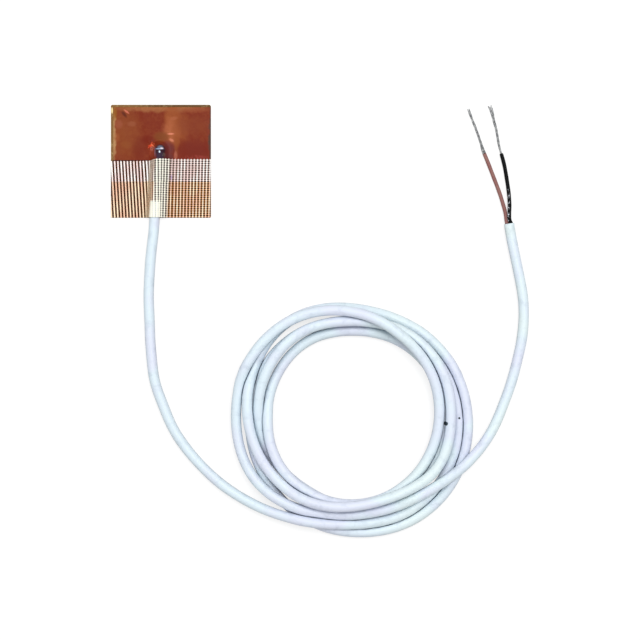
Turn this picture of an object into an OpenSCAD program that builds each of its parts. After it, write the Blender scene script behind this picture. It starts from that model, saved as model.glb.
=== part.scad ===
// Self-adhesive surface thermistor sensor. A bead thermistor lies between two amber films,
// a strip of woven glass cloth holds its leads and the cable's end down, and the round
// two-core cable lies in a loose coil and ends stripped.
// X runs across the patch, Y along it away from the cable, Z up from the adhesive face.
// The origin is the middle of the adhesive face.

/* [Patch] */
// Width of the patch, across the cable
patch_w = 25.4; // [22:0.1:40]
// Length of the patch, along the cable
patch_l = 28.7; // [26:0.1:45]
// Radius of the patch's corners
corner_r = 0.4; // [0.1:0.1:1]
// Radius of the worn far right corner
worn_corner_r = 0.5; // [0.1:0.1:3]
// Thickness of the pressure-sensitive adhesive
adhesive_t = 0.13; // [0.05:0.01:0.3]
// Thickness of the base film
base_film_t = 0.08; // [0.05:0.01:0.2]
// Thickness of the cover film
cover_film_t = 0.08; // [0.05:0.01:0.2]
// Strip of base film left bare along the far edge and the left edge
cover_margin = 0.6; // [0.1:0.1:2]
// Length of cover film that runs under the cloth
cover_lap = 5.6; // [3:0.1:7]

/* [Ridge] */
// Half the width of the ridge that films and cloth form over the cable, at its foot
ridge_half_w = 2.2; // [2:0.1:3]
// Radius of the soft bend at the foot of the ridge
foot_r = 0.8; // [0.5:0.1:1.5]
// Angle of the ridge to the patch's long side
ridge_angle = 4.1; // [0:0.1:8]

/* [Glass cloth] */
// Length of the cloth strip, from the cable's edge of the patch
cloth_l = 14.75; // [13:0.05:16]
// Thickness of the cloth at the crest of a yarn
cloth_t = 0.24; // [0.15:0.01:0.4]
// Thickness of the cloth between two yarns
web_t = 0.12; // [0.08:0.01:0.14]
// Distance between two warp yarns
yarn_pitch = 0.82; // [0.7:0.01:1.2]
// Width of a warp yarn
yarn_w = 0.5; // [0.35:0.01:0.6]
// Width of the bands of weft between two rows of gaps
weft_band = 0.9; // [0.4:0.1:1.2]
// Rows of gaps where the cloth lies on the cover film
upper_gap_rows = 1; // [1:1:2]
// Rows of gaps where the cloth lies on the base film
lower_gap_rows = 2; // [1:1:3]

/* [Bead] */
// Diameter of the coated bead
bead_d = 2.4; // [2:0.1:2.6]
// Distance from the edge of the cloth to the bead's centre
bead_offset = 2.5; // [2:0.1:4]
// Sideways place of the bead on the patch
bead_x = -0.25; // [-1:0.05:1]
// Length of the coating's neck, from the bead's centre
neck_l = 2; // [1.5:0.1:2.5]
// Diameter of the neck where it leaves the bead
neck_root_d = 1.9; // [1.6:0.05:2]
// Diameter of the neck's end
neck_d = 1.45; // [1.2:0.05:1.6]
// Thickness of the chip, between its leads
chip_t = 0.5; // [0.3:0.05:0.6]
// Side of the square chip
chip_side = 1; // [0.6:0.05:1.2]
// Diameter of a bead lead
lead_d = 0.25; // [0.15:0.01:0.3]
// Length over which the leads spread to the splices
lead_spread_l = 1.7; // [1:0.1:1.9]

/* [Splices] */
// Bare length of lead between the neck and the solder joint
lead_free_l = 2.2; // [1.9:0.1:3]
// Length of a solder joint
solder_l = 2.2; // [1.5:0.1:2.5]
// Largest diameter of a solder joint
solder_d = 0.9; // [0.75:0.01:1]
// Bare conductor between the solder joint and the core's insulation
bare_gap = 1; // [0.5:0.1:1.5]
// Length of sleeve past each end of the joint
sleeve_lap = 0.8; // [0.4:0.1:1]
// Wall of a splice sleeve
sleeve_wall = 0.17; // [0.1:0.01:0.2]

/* [Cable] */
// Wall of the cable's jacket
jacket_wall = 0.26; // [0.2:0.01:0.4]
// Length of jacket held under the cloth
jacket_grip = 3.9; // [2:0.1:5]
// Outer diameter of a core's insulation
core_d = 1; // [0.9:0.01:1.1]
// Outer diameter of a stranded conductor
conductor_d = 0.6; // [0.5:0.01:0.7]
// Length over which the cores spread to their sleeves
core_spread_l = 2.5; // [1.5:0.1:3]
// Length in which the strands turn once round the conductor
strand_lay = 9; // [6:0.5:14]

/* [Coil] */
// Sideways place of the coil's centre
coil_x = 48.5; // [46:0.1:50]
// Lengthwise place of the coil's centre
coil_y = -65.7; // [-67:0.1:-64]
// Outer radius of the coil
coil_outer_r = 30.5; // [29:0.1:31]
// Width of the wound turns
coil_band = 10.1; // [9:0.1:11]
// Height of the wound turns
coil_h = 7.6; // [6:0.1:9]

/* [Hidden] */
$fn = 48;

// Clearance between pieces that lie against each other
fit_gap = 0.02;
// A cut runs this far past what it cuts
past = 1;

// The two cores lie side by side in the jacket
core_x = core_d / 2 + fit_gap;
jacket_bore = 2 * (core_x + core_d / 2 + fit_gap);
cable_d = jacket_bore + 2 * jacket_wall;

// Heights above the adhesive face
base_top = adhesive_t + base_film_t;
axis_h = cable_d / 2 + fit_gap;

// Lengthwise places on the patch
near_edge_y = -patch_l / 2;
cloth_edge_y = near_edge_y + cloth_l;
cover_end_y = cloth_edge_y - cover_lap;
bead_y = cloth_edge_y + bead_offset;

// Places along the sensor line, counted from the bead's centre towards the cable.
// The jacket's end under the cloth is cut square, so that no side of it passes the patch's edge.
exit_u = (bead_y - near_edge_y) / cos(ridge_angle) - cable_d / 2 * tan(ridge_angle);
jacket_u = exit_u - jacket_grip;
solder_u = neck_l + lead_free_l;
solder_end_u = solder_u + solder_l;
core_u = solder_end_u + bare_gap;
sleeve_u = solder_u - sleeve_lap;
sleeve_end_u = core_u + sleeve_lap;
lead_tip_u = solder_u + solder_l / 2;

// The neck starts inside the bead, this far from its centre
neck_start = 0.3;

// Sideways places along the sensor line
lead_x = (chip_t + lead_d) / 2 + fit_gap;
sleeve_bore = core_d + 3 * fit_gap;
sleeve_d = sleeve_bore + 2 * sleeve_wall;
sleeve_x = sleeve_d / 2 + fit_gap;

// Shape of the ridge: an arch over the cable, straight flanks and a soft bend at each foot
arch_r = cable_d / 2 + fit_gap;
flank_slope = atan2(axis_h, ridge_half_w) + asin(arch_r / norm([ridge_half_w, axis_h]));
flank_l = sqrt(pow(ridge_half_w, 2) + pow(axis_h, 2) - pow(arch_r, 2)) - foot_r * tan(flank_slope / 2);
arch_end_s = arch_r * radians(flank_slope);
flank_end_s = arch_end_s + flank_l;
foot_end_s = flank_end_s + foot_r * radians(flank_slope);
foot_end_x = ridge_half_w + foot_r * tan(flank_slope / 2);

// Number of straight pieces in each bend of the ridge's outline
bend_steps = 6;
// Width of flat film on each side of the ridge that is made with it, and how much of it laps the flat sheet
rim_w = 0.4;
rim_lap = 0.2;

// Cloth: arc length from edge to edge, the warp yarns in it and the step down at the cover film's end
cloth_arc = patch_w * cos(ridge_angle) + 2 * (foot_end_s - foot_end_x);
yarn_count = floor(cloth_arc / yarn_pitch);
real_pitch = cloth_arc / yarn_count;
step_run = 0.3;
columns_per_yarn = 4;

// Routes of the two cable tails and the four stripped ends, points chosen along the cable.
// The patch's tail leaves along the sensor line and runs down to the coil.
exit_point = [bead_x - exit_u * sin(ridge_angle), bead_y - exit_u * cos(ridge_angle), base_top + axis_h];
lead_out = 4;
patch_tail_route = concat(
    [exit_point, exit_point - lead_out * [sin(ridge_angle), cos(ridge_angle), 0]],
    [
        [-2.4, -23.6, 1.4], [-2.8, -29, 1.3], [-3, -34.5, 1.3], [-2.8, -40, 1.3],
        [-2.6, -45.5, 1.3], [-2.2, -50.5, 1.3], [-1.4, -56, 1.3], [0.5, -61.5, 1.3],
        [2.8, -67, 1.3], [6.2, -72.4, 1.3], [10.4, -77.3, 1.4], [15.2, -81.7, 1.5],
        [20.4, -85.2, 1.8], [26, -88, 2.3], [32, -90, 3]
    ]
);
// The free tail comes off the top of the coil and runs up to the stripped end.
free_tail_route = [
    [72.6, -80.3, 3.8], [77.3, -76.5, 3.6], [81.4, -72, 2.7], [84.6, -66.9, 2.1],
    [86.9, -61.5, 1.7], [88.8, -56.3, 1.4], [90.3, -50.8, 1.3], [91.5, -45.3, 1.3],
    [92, -39.8, 1.3], [91.8, -34.5, 1.3], [90.9, -29.3, 1.3], [89.8, -24, 1.3],
    [88.8, -19, 1.3], [88.3, -15.9, 1.3]
];
// The cores leave the jacket side by side and sink to the surface.
jacket_cut = free_tail_route[len(free_tail_route) - 1];
cut_heading = heading(free_tail_route, len(free_tail_route) - 1);
core_out = 0.8;
function core_start(side) =
    let (seat = jacket_cut + side * core_x * unit(cross(cut_heading, [0, 0, 1])))
    [seat, seat + core_out * cut_heading];
red_core_route = concat(
    core_start(-1),
    [
        [87.5, -13.8, 1.2], [86.9, -11.2, 0.9], [86.1, -8.5, 0.6], [85.2, -6, 0.5],
        [84.2, -3.4, 0.5], [83.2, -0.8, 0.5], [82.1, 1.9, 0.5]
    ]
);
black_core_route = concat(
    core_start(1),
    [
        [88.7, -13.8, 1.2], [88.5, -11.2, 0.9], [88.3, -8.5, 0.6], [88, -5.9, 0.5],
        [87.6, -3.3, 0.5], [87.1, -0.7, 0.5], [86.4, 1.9, 0.5]
    ]
);
red_wire_route = concat(
    [red_core_route[len(red_core_route) - 1]],
    [
        [81.7, 3, 0.4], [81.4, 4.1, 0.32], [81, 5.3, 0.31], [80.6, 6.5, 0.31], [80.2, 7.6, 0.31],
        [79.8, 8.7, 0.31], [79.3, 9.9, 0.31], [78.9, 11, 0.31], [78.5, 12.1, 0.31], [78.1, 13.3, 0.31]
    ]
);
black_wire_route = concat(
    [black_core_route[len(black_core_route) - 1]],
    [
        [86.1, 3, 0.4], [85.8, 4.2, 0.32], [85.6, 5.4, 0.31], [85.4, 6.6, 0.31],
        [85.2, 7.8, 0.31], [84.9, 9, 0.31], [84.6, 10, 0.31],
        [84.4, 11, 0.31], [84.2, 12.1, 0.31], [83.9, 13.2, 0.31], [83.6, 14.2, 0.31]
    ]
);
// The black conductor's strands fan out over its last few route points, up to this many times its width.
fan_points = 4;
fan_width = 2.2;
cable_sides = 8;
core_sides = 12;
lead_sides = 8;
strands_round = 6;

// Outline of the ridge

function radians(a) = a * PI / 180;
function degrees(a) = a * 180 / PI;

// Point of the drape at arc length s from the ridge's top, lifted by g along its own normal.
function drape(s, g) = s < 0 ? mirrored(drape_side(-s, g)) : drape_side(s, g);
function mirrored(p) = [-p[0], p[1]];
function drape_side(s, g) =
    s <= arch_end_s ? arch_point(degrees(s / arch_r), g) :
    s <= flank_end_s ? flank_point(s - arch_end_s, g) :
    s <= foot_end_s ? foot_point(flank_slope - degrees((s - flank_end_s) / foot_r), g) :
    [foot_end_x + s - foot_end_s, g];
function arch_point(a, g) = [(arch_r + g) * sin(a), axis_h + (arch_r + g) * cos(a)];
function flank_point(run, g) = arch_point(flank_slope, g) + run * [cos(flank_slope), -sin(flank_slope)];
function foot_point(a, g) = [foot_end_x - (foot_r - g) * sin(a), foot_r - (foot_r - g) * cos(a)];

// Arc lengths at which the outline of half a ridge needs a point, from its top outwards.
outline_s = concat(
    [for (i = [0:bend_steps]) arch_end_s * i / bend_steps],
    [for (i = [0:bend_steps]) flank_end_s + (foot_end_s - flank_end_s) * i / bend_steps],
    [foot_end_s + rim_w]
);
rim_x = foot_end_x + rim_w;

// Closed outline of half a ridge, between two lifts.
function half_ridge(g0, g1) = concat(
    [for (s = outline_s) drape(s, g1)],
    [for (i = [len(outline_s) - 1:-1:0]) drape(outline_s[i], g0)]
);

// Flat sheets

function arc(c, r, a0, a1) =
    [for (i = [0:bend_steps]) let (a = a0 + (a1 - a0) * i / bend_steps) c + r * [cos(a), sin(a)]];

// Outline of a sheet from its lower left to its upper right corner, which is rounded by its own radius.
function sheet_outline(low, high, r, last_r) = concat(
    arc([low[0] + r, low[1] + r], r, 180, 270),
    arc([high[0] - r, low[1] + r], r, 270, 360),
    arc([high[0] - last_r, high[1] - last_r], last_r, 0, 90),
    arc([low[0] + r, high[1] - r], r, 90, 180)
);

module patch_sheet(z, t) {
    low = [-patch_w / 2, near_edge_y];
    translate([0, 0, z])
        linear_extrude(t)
            polygon(sheet_outline(low, -low, corner_r, worn_corner_r));
}

module adhesive_layer() {
    color("#b9a26a") patch_sheet(0, adhesive_t);
}

module base_film() {
    color("#8a4a2c") patch_sheet(adhesive_t, base_film_t);
}

// Puts its children on the sensor line: origin at the bead's centre on the base film, -Y towards the cable.
module on_sensor_line() {
    translate([bead_x, bead_y, base_top])
        rotate(-ridge_angle)
            children();
}

// Puts its children at one side of the sensor line, at the height of the cable's axis.
module on_axis(side) {
    on_sensor_line()
        translate([0, 0, axis_h])
            mirror([side < 0 ? 1 : 0, 0, 0])
                children();
}

// Cover film: a flat sheet with a blister, which is a ridge with a half dome round the bead
module cover_film() {
    low = [-patch_w / 2 + cover_margin, cover_end_y];
    high = [patch_w / 2, patch_l / 2 - cover_margin];
    color("#96502f")
        union() {
            difference() {
                translate([0, 0, base_top + fit_gap])
                    linear_extrude(cover_film_t)
                        polygon(sheet_outline(low, high, corner_r, worn_corner_r));
                on_sensor_line() blister_opening();
            }
            intersection() {
                on_sensor_line() blister();
                translate([low[0], low[1], 0])
                    cube([high[0] - low[0], high[1] - low[1], base_top + 3 * cable_d]);
            }
        }
}

module blister_opening() {
    opening_x = rim_x - rim_lap;
    translate([0, 0, -past])
        cylinder(r = opening_x, h = 2 * past);
    translate([-opening_x, -exit_u, -past])
        cube([2 * opening_x, exit_u, 2 * past]);
}

module blister() {
    rotate_extrude(angle = 180)
        polygon(half_ridge(fit_gap, fit_gap + cover_film_t));
    for (side = [0, 1])
        mirror([side, 0, 0])
            rotate([90, 0, 0])
                linear_extrude(exit_u)
                    polygon(half_ridge(fit_gap, fit_gap + cover_film_t));
}

// Glass cloth: one woven wall over a grid of columns across the yarns and rows along them

// Sideways place of the ridge at a lengthwise place y.
function ridge_x(y) = bead_x - (bead_y - y) * tan(ridge_angle);

// Arc lengths of the columns, from the left edge: two feet and two crest points for each yarn.
function yarn_columns(k) =
    let (left = k * real_pitch + (real_pitch - yarn_w) / 2)
    [for (i = [0:columns_per_yarn - 1]) left + yarn_w * i / (columns_per_yarn - 1)];
column_s = concat([0], [for (k = [0:yarn_count - 1]) each yarn_columns(k)], [cloth_arc]);

// Rows of one stretch: bands of weft and gaps in turn.
function stretch_rows(y0, y1, gap_rows) =
    let (gap_l = (y1 - y0 - (gap_rows + 1) * weft_band) / gap_rows)
    [for (i = [0:gap_rows], end = [0, 1]) y0 + i * (weft_band + gap_l) + end * weft_band];
row_y = concat(
    stretch_rows(near_edge_y, cover_end_y - step_run, lower_gap_rows),
    stretch_rows(cover_end_y, cloth_edge_y, upper_gap_rows)
);
step_row = 2 * lower_gap_rows + 1;

// A cell is a gap where it lies between two yarns and between two bands of weft.
function is_gap(i, j) =
    i > 0 && i < len(column_s) - 2 && i % columns_per_yarn == 0 && j != step_row &&
    (j < step_row ? j % 2 == 1 : (j - step_row) % 2 == 0);
function is_wall(i, j) =
    i >= 0 && i < len(column_s) - 1 && j >= 0 && j < len(row_y) - 1 && !is_gap(i, j);

// Lift of the cloth's underside at row j, and the thickness at column i.
function cloth_lift(j) = 2 * fit_gap + (j > step_row ? cover_film_t : 0);
function cloth_rise(i) = i % columns_per_yarn > 1 ? cloth_t : web_t;
function cloth_point(i, j, g) =
    let (y = row_y[j])
    let (s = column_s[i] - (ridge_x(y) + patch_w / 2) * cos(ridge_angle) - foot_end_s + foot_end_x)
    let (p = drape(s, g))
    [ridge_x(y) + p[0] / cos(ridge_angle), y, base_top + p[1]];

module glass_cloth() {
    columns = len(column_s);
    rows = len(row_y);
    top = columns * rows;
    under = [for (j = [0:rows - 1], i = [0:columns - 1]) cloth_point(i, j, cloth_lift(j))];
    over = [for (j = [0:rows - 1], i = [0:columns - 1]) cloth_point(i, j, cloth_lift(j) + cloth_rise(i))];
    faces = [
        for (j = [0:rows - 2], i = [0:columns - 2])
            if (is_wall(i, j))
                let (a = j * columns + i)
                let (b = a + 1)
                let (c = a + columns + 1)
                let (d = a + columns)
                each concat(
                    [[top + a, top + d, top + c, top + b], [a, b, c, d]],
                    is_wall(i, j - 1) ? [] : [[a, top + a, top + b, b]],
                    is_wall(i + 1, j) ? [] : [[b, top + b, top + c, c]],
                    is_wall(i, j + 1) ? [] : [[c, top + c, top + d, d]],
                    is_wall(i - 1, j) ? [] : [[d, top + d, top + a, a]]
                )
    ];
    color("#e0d2bd") polyhedron(points = concat(under, over), faces = faces, convexity = 8);
}

// Bead

module thermistor_chip() {
    color("#5a5a60")
        on_axis(1)
            cube([chip_t, chip_side, chip_side], center = true);
}

// The coating sits on the base film, so its centre lies a little under the cable's axis.
module bead_coating() {
    color("#2c2226")
        difference() {
            on_sensor_line()
                translate([0, 0, bead_d / 2 + fit_gap]) {
                    sphere(d = bead_d);
                    rotate([90, 0, 0])
                        translate([0, 0, neck_start])
                            cylinder(d1 = neck_root_d, d2 = neck_d, h = neck_l - neck_start);
                }
            thermistor_chip();
            bead_lead(1);
            bead_lead(-1);
        }
}

// A straight run of a section towards the cable, from u0 to u1, at a sideways place x.
module straight_run(u0, u1, x) {
    translate([x, -u0, 0])
        rotate([90, 0, 0])
            linear_extrude(u1 - u0)
                children();
}

// Route of a wire from u0 to u1 that shifts from x0 to x1 over a length from u_shift, in an S-bend.
function eased(t) = (1 - cos(180 * t)) / 2;
function wire_route(u0, u1, x0, x1, u_shift, shift_l) = concat(
    [[x0, -u0, 0]],
    [
        for (i = [0:bend_steps])
            let (t = i / bend_steps)
            [x0 + (x1 - x0) * eased(t), -u_shift - shift_l * t, 0]
    ],
    [[x1, -u1, 0]]
);

module bead_lead(side) {
    spread_u = neck_l + (lead_free_l - lead_spread_l) / 2;
    route = wire_route(-chip_side / 2, lead_tip_u, lead_x, sleeve_x, spread_u, lead_spread_l);
    on_axis(side) swept(route, round_section(lead_d, lead_sides));
}

module left_lead() {
    color("silver") bead_lead(-1);
}

module right_lead() {
    color("silver") bead_lead(1);
}

// Splices

// Outline of a joint's lead side: shares of the joint's length and of its full radius.
solder_outline = [[0, 0.5], [0.35, 1], [0.75, 1]];

module solder_joint(side) {
    blunt_r = (solder_d + conductor_d) / 4 - fit_gap;
    bulge = [for (p = solder_outline) [solder_d / 2 * p[1], solder_u + solder_l * p[0]]];
    difference() {
        on_axis(side)
            translate([sleeve_x, 0, 0])
                rotate([90, 0, 0])
                    rotate_extrude()
                        polygon(concat([[0, solder_u]], bulge, [[blunt_r, solder_end_u], [0, solder_end_u]]));
        bead_lead(side);
        sensor_conductor(side);
    }
}

module left_solder_joint() {
    color("#b8bcc0") solder_joint(-1);
}

module right_solder_joint() {
    color("#b8bcc0") solder_joint(1);
}

module splice_sleeve(side) {
    on_axis(side)
        straight_run(sleeve_u, sleeve_end_u, sleeve_x)
            difference() {
                circle(d = sleeve_d);
                circle(d = sleeve_bore);
            }
}

module left_splice_sleeve() {
    color("#e8e6de") splice_sleeve(-1);
}

module right_splice_sleeve() {
    color("#e8e6de") splice_sleeve(1);
}

// Sensor end of the cable

// A core or its conductor: it lies in its sleeve from u0, comes in and runs through the jacket to its exit.
module sensor_wire(side, u0, d) {
    spread_u = jacket_u - fit_gap - core_spread_l;
    route = wire_route(u0, exit_u, sleeve_x, core_x, spread_u, core_spread_l);
    on_axis(side) swept(route, round_section(d, core_sides));
}

module sensor_conductor(side) {
    sensor_wire(side, lead_tip_u, conductor_d);
}

module sensor_core(side) {
    difference() {
        sensor_wire(side, core_u, core_d);
        sensor_conductor(side);
    }
}

module red_core_sensor_end() {
    color("#a5655f") sensor_core(-1);
}

module black_core_sensor_end() {
    color("#1c1c1e") sensor_core(1);
}

module red_conductor_sensor_end() {
    color("silver") sensor_conductor(-1);
}

module black_conductor_sensor_end() {
    color("silver") sensor_conductor(1);
}

module jacket_sensor_end() {
    color("#dfe7ec")
        on_axis(1)
            straight_run(jacket_u, exit_u, 0)
                difference() {
                    circle(d = cable_d);
                    circle(d = jacket_bore);
                }
}

// Cable and stripped ends, as sections carried along a route

function unit(v) = v / norm(v);
function heading(route, i) =
    unit(route[min(i + 1, len(route) - 1)] - route[max(i - 1, 0)]);

// One ring of the section at route point i, turned by an angle about the route and widened sideways.
function ring(route, i, section, turn, widening) =
    let (t = heading(route, i))
    let (side = unit(cross(t, [0, 0, 1])))
    let (up = cross(side, t))
    [for (p = section) route[i] + (p[0] * cos(turn) - p[1] * sin(turn)) * widening * side +
        (p[0] * sin(turn) + p[1] * cos(turn)) * up];

// A section carried along a route. It fans out over its last few points to a multiple of its width.
module swept(route, section, twist = 0, fan = 1) {
    n = len(section);
    last = (len(route) - 1) * n;
    fan_start = len(route) - 1 - fan_points;
    points = [
        for (i = [0:len(route) - 1])
            each ring(route, i, section, twist * i, 1 + (fan - 1) * max(0, i - fan_start) / fan_points)
    ];
    walls = [
        for (i = [0:len(route) - 2], k = [0:n - 1])
            let (a = i * n + k)
            let (b = i * n + (k + 1) % n)
            each [[a, b, b + n], [a, b + n, a + n]]
    ];
    caps = [[for (k = [n - 1:-1:0]) k], [for (k = [0:n - 1]) last + k]];
    polyhedron(points = points, faces = concat(walls, caps), convexity = 4);
}

function round_section(d, sides) =
    [for (k = [0:sides - 1]) d / 2 * [cos(k * 360 / sides), sin(k * 360 / sides)]];

// Outline of six strands laid round a seventh: three points to each strand.
function strand_section(d) =
    let (strand = d / 3)
    [
        for (k = [0:strands_round - 1], a = [-30, -10, 10])
            (cos(a) + sqrt(max(0, 0.25 - pow(sin(a), 2)))) * strand *
            [cos(a + k * 360 / strands_round), sin(a + k * 360 / strands_round)]
    ];

module patch_tail() {
    color("#dfe7ec")
        difference() {
            swept(patch_tail_route, round_section(cable_d, cable_sides));
            coil_form();
        }
}

module free_tail() {
    color("#dfe7ec")
        difference() {
            swept(free_tail_route, round_section(cable_d, cable_sides));
            coil_form();
        }
}

// Outer shape of the five turns, its edges rounded like the cable
module coil_form() {
    edge_r = cable_d / 2;
    translate([coil_x, coil_y, 0])
        rotate_extrude()
            translate([coil_outer_r - coil_band, 0])
                polygon(sheet_outline([0, 0], [coil_band, coil_h], edge_r, edge_r));
}

module cable_coil() {
    color("#dfe7ec") coil_form();
}

module red_core() {
    color("#a5655f") swept(red_core_route, round_section(core_d, cable_sides));
}

module black_core() {
    color("#1c1c1e") swept(black_core_route, round_section(core_d, cable_sides));
}

// Turn of the strands from one route point to the next.
function strand_turn(route) = 360 * norm(route[2] - route[1]) / strand_lay;

module red_conductor() {
    color("silver") swept(red_wire_route, strand_section(conductor_d), strand_turn(red_wire_route));
}

module black_conductor() {
    twist = strand_turn(black_wire_route);
    color("silver") swept(black_wire_route, strand_section(conductor_d), twist, fan_width);
}

adhesive_layer();
base_film();
cover_film();
glass_cloth();
thermistor_chip();
bead_coating();
left_lead();
right_lead();
left_solder_joint();
right_solder_joint();
left_splice_sleeve();
right_splice_sleeve();
red_core_sensor_end();
black_core_sensor_end();
red_conductor_sensor_end();
black_conductor_sensor_end();
jacket_sensor_end();
patch_tail();
cable_coil();
free_tail();
red_core();
black_core();
red_conductor();
black_conductor();
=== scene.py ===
"""Self-adhesive surface thermistor sensor: its looks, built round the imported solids.

X runs across the patch, Y along it away from the cable, Z up from the adhesive face. Sizes are
written in millimetres and turned into metres by MM. Fields that are angles are in degrees.
"""

import logging
import math
from collections.abc import Callable
from dataclasses import dataclass, field
from enum import Enum
from functools import cached_property

import bpy
import numpy as np
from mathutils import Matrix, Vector

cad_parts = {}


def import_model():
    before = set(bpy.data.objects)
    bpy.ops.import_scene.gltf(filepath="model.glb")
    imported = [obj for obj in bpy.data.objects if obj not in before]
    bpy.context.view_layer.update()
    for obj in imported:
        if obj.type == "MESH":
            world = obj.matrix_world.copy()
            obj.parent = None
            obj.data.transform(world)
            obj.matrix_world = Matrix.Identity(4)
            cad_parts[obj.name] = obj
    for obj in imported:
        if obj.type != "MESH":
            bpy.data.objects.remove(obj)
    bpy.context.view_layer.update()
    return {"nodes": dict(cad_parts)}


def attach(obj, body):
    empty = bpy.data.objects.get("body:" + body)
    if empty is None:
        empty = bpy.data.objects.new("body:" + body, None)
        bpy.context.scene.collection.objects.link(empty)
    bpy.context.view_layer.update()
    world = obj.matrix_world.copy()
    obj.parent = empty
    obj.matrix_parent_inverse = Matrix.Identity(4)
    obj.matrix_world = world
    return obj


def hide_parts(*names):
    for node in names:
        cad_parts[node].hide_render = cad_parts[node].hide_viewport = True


Array = np.ndarray
Pair = tuple[float, float]
Colour = tuple[float, float, float, float]
Material = bpy.types.Material
Piece = bpy.types.Object
Rows = tuple[tuple[float, ...], ...]

MM = 0.001
UP = np.array([0.0, 0.0, 1.0])
TINY = 1e-12
SAMPLES_PER_KNOT = 20

log = logging.getLogger("scene")


# Numbers and colours


def screen(red: int, green: int, blue: int) -> Colour:
    """Turns a colour as a screen shows it, 0 to 255, into linear light.

    Args:
        red, green, blue: the screen's levels.

    Returns:
        The linear colour with full alpha.
    """
    level = np.array([red, green, blue]) / 255
    linear = np.where(level <= 0.04045, level / 12.92, ((level + 0.055) / 1.055) ** 2.4)
    return (*linear.tolist(), 1.0)


def ease(x: Array, low: float, high: float) -> Array:
    """Rises smoothly from 0 at low to 1 at high: 3t² - 2t³ of the share t of the way.

    Args:
        x: where to take it.
        low: where the rise starts.
        high: where it ends, which may be below low.

    Returns:
        The values, as many as x has.
    """
    t = np.clip((x - low) / (high - low), 0, 1)
    return t * t * (3 - 2 * t)


def unit(vectors: Array) -> Array:
    """Each vector divided by its own length."""
    return vectors / np.maximum(np.linalg.norm(vectors, axis=-1, keepdims=True), TINY)


def run_length(path: Array) -> Array:
    """Length along a path from its start to each of its points."""
    steps = np.linalg.norm(np.diff(path, axis=0), axis=1)
    return np.concatenate([[0.0], np.cumsum(steps)])


def smooth_line(points: Array, step: float) -> Array:
    """Carries a natural cubic spline through points and spaces it evenly.

    Between two points the line is the cubic whose second derivatives at its ends, found by one
    linear solve over all the points, make slope and curvature run on without a jump.

    Args:
        points: the points that the line goes through.
        step: wanted distance between two points of the line.

    Returns:
        The line's points.
    """
    knots = run_length(points)
    gaps = np.diff(knots)
    count = len(knots)
    system = np.eye(count)
    inner = np.arange(1, count - 1)
    system[inner, inner - 1] = gaps[:-1]
    system[inner, inner] = 2 * (gaps[:-1] + gaps[1:])
    system[inner, inner + 1] = gaps[1:]
    slopes = np.diff(points, axis=0) / gaps[:, None]
    change = np.zeros(points.shape)
    change[1:-1] = 6 * (slopes[1:] - slopes[:-1])
    bend = np.linalg.solve(system, change)

    def at(place: Array) -> Array:
        """Points of the spline at places along its knots: each part is a sum of two cubics.

        Args:
            place: lengths along the straight lines between the knots.

        Returns:
            The points.
        """
        k = np.clip(np.searchsorted(knots, place, side="right") - 1, 0, count - 2)
        gap = gaps[k][:, None]
        x = (place - knots[k])[:, None]
        y = gap - x
        curved = (bend[k] * y**3 + bend[k + 1] * x**3) / (6 * gap)
        start = (points[k] / gap - bend[k] * gap / 6) * y
        end = (points[k + 1] / gap - bend[k + 1] * gap / 6) * x
        return curved + start + end

    dense = np.linspace(0, knots[-1], SAMPLES_PER_KNOT * count)
    length = run_length(at(dense))
    wanted = np.linspace(0, length[-1], int(round(length[-1] / step)) + 1)
    return at(np.interp(wanted, length, dense))


# Surfaces


@dataclass
class Surface:
    """Points in millimetres, and faces as rows of point numbers.

    Attributes:
        points: one row of three numbers for each point.
        faces: arrays of faces; the faces of one array have as many corners.
        marks: named numbers, one for each point, that a finish reads.
    """

    points: Array
    faces: list[Array]
    marks: dict[str, Array] = field(default_factory=dict)

    @staticmethod
    def joined(parts: list["Surface"]) -> "Surface":
        """Puts several surfaces into one.

        Args:
            parts: the surfaces, all with the same marks.

        Returns:
            The one surface.
        """
        offsets = np.cumsum([0] + [len(part.points) for part in parts[:-1]])
        faces = [f + offset for part, offset in zip(parts, offsets) for f in part.faces]
        corners = sorted({f.shape[1] for f in faces})
        merged = [np.concatenate([f for f in faces if f.shape[1] == n]) for n in corners]
        marks = {key: np.concatenate([p.marks[key] for p in parts]) for key in parts[0].marks}
        return Surface(np.concatenate([part.points for part in parts]), merged, marks)

    def piece(self, name: str, coat: Material, smooth: bool = True) -> Piece:
        """Makes the surface an object of the scene, in metres.

        Args:
            name: the object's name.
            coat: its material.
            smooth: True to shade it smooth.

        Returns:
            The object, at the origin.
        """
        mesh = bpy.data.meshes.new(name)
        mesh.vertices.add(len(self.points))
        mesh.vertices.foreach_set("co", (self.points * MM).astype(np.float32).ravel())
        corners = np.concatenate([f.ravel() for f in self.faces])
        sizes = np.concatenate([np.full(len(f), f.shape[1]) for f in self.faces])
        mesh.loops.add(len(corners))
        mesh.loops.foreach_set("vertex_index", corners.astype(np.int32))
        mesh.polygons.add(len(sizes))
        starts = np.concatenate([[0], np.cumsum(sizes)[:-1]])
        mesh.polygons.foreach_set("loop_start", starts.astype(np.int32))
        mesh.update(calc_edges=True)
        mesh.polygons.foreach_set("use_smooth", np.full(len(sizes), smooth))
        for key, values in self.marks.items():
            mark = mesh.attributes.new(key, "FLOAT", "POINT")
            mark.data.foreach_set("value", values.astype(np.float32))
        mesh.validate()
        mesh.materials.append(coat)
        made = bpy.data.objects.new(name, mesh)
        bpy.context.scene.collection.objects.link(made)
        return made


def directions(path: Array, over: Array) -> tuple[Array, Array]:
    """Directions across and over a path: across is heading x over, and over is made square to both.

    Args:
        path: the path's points.
        over: one direction, or one for each point, that lies roughly over the path.

    Returns:
        The unit vectors across and over, one of each for each point.
    """
    heading = unit(np.gradient(path, axis=0))
    across = unit(np.cross(heading, over))
    return across, np.cross(across, heading)


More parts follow.
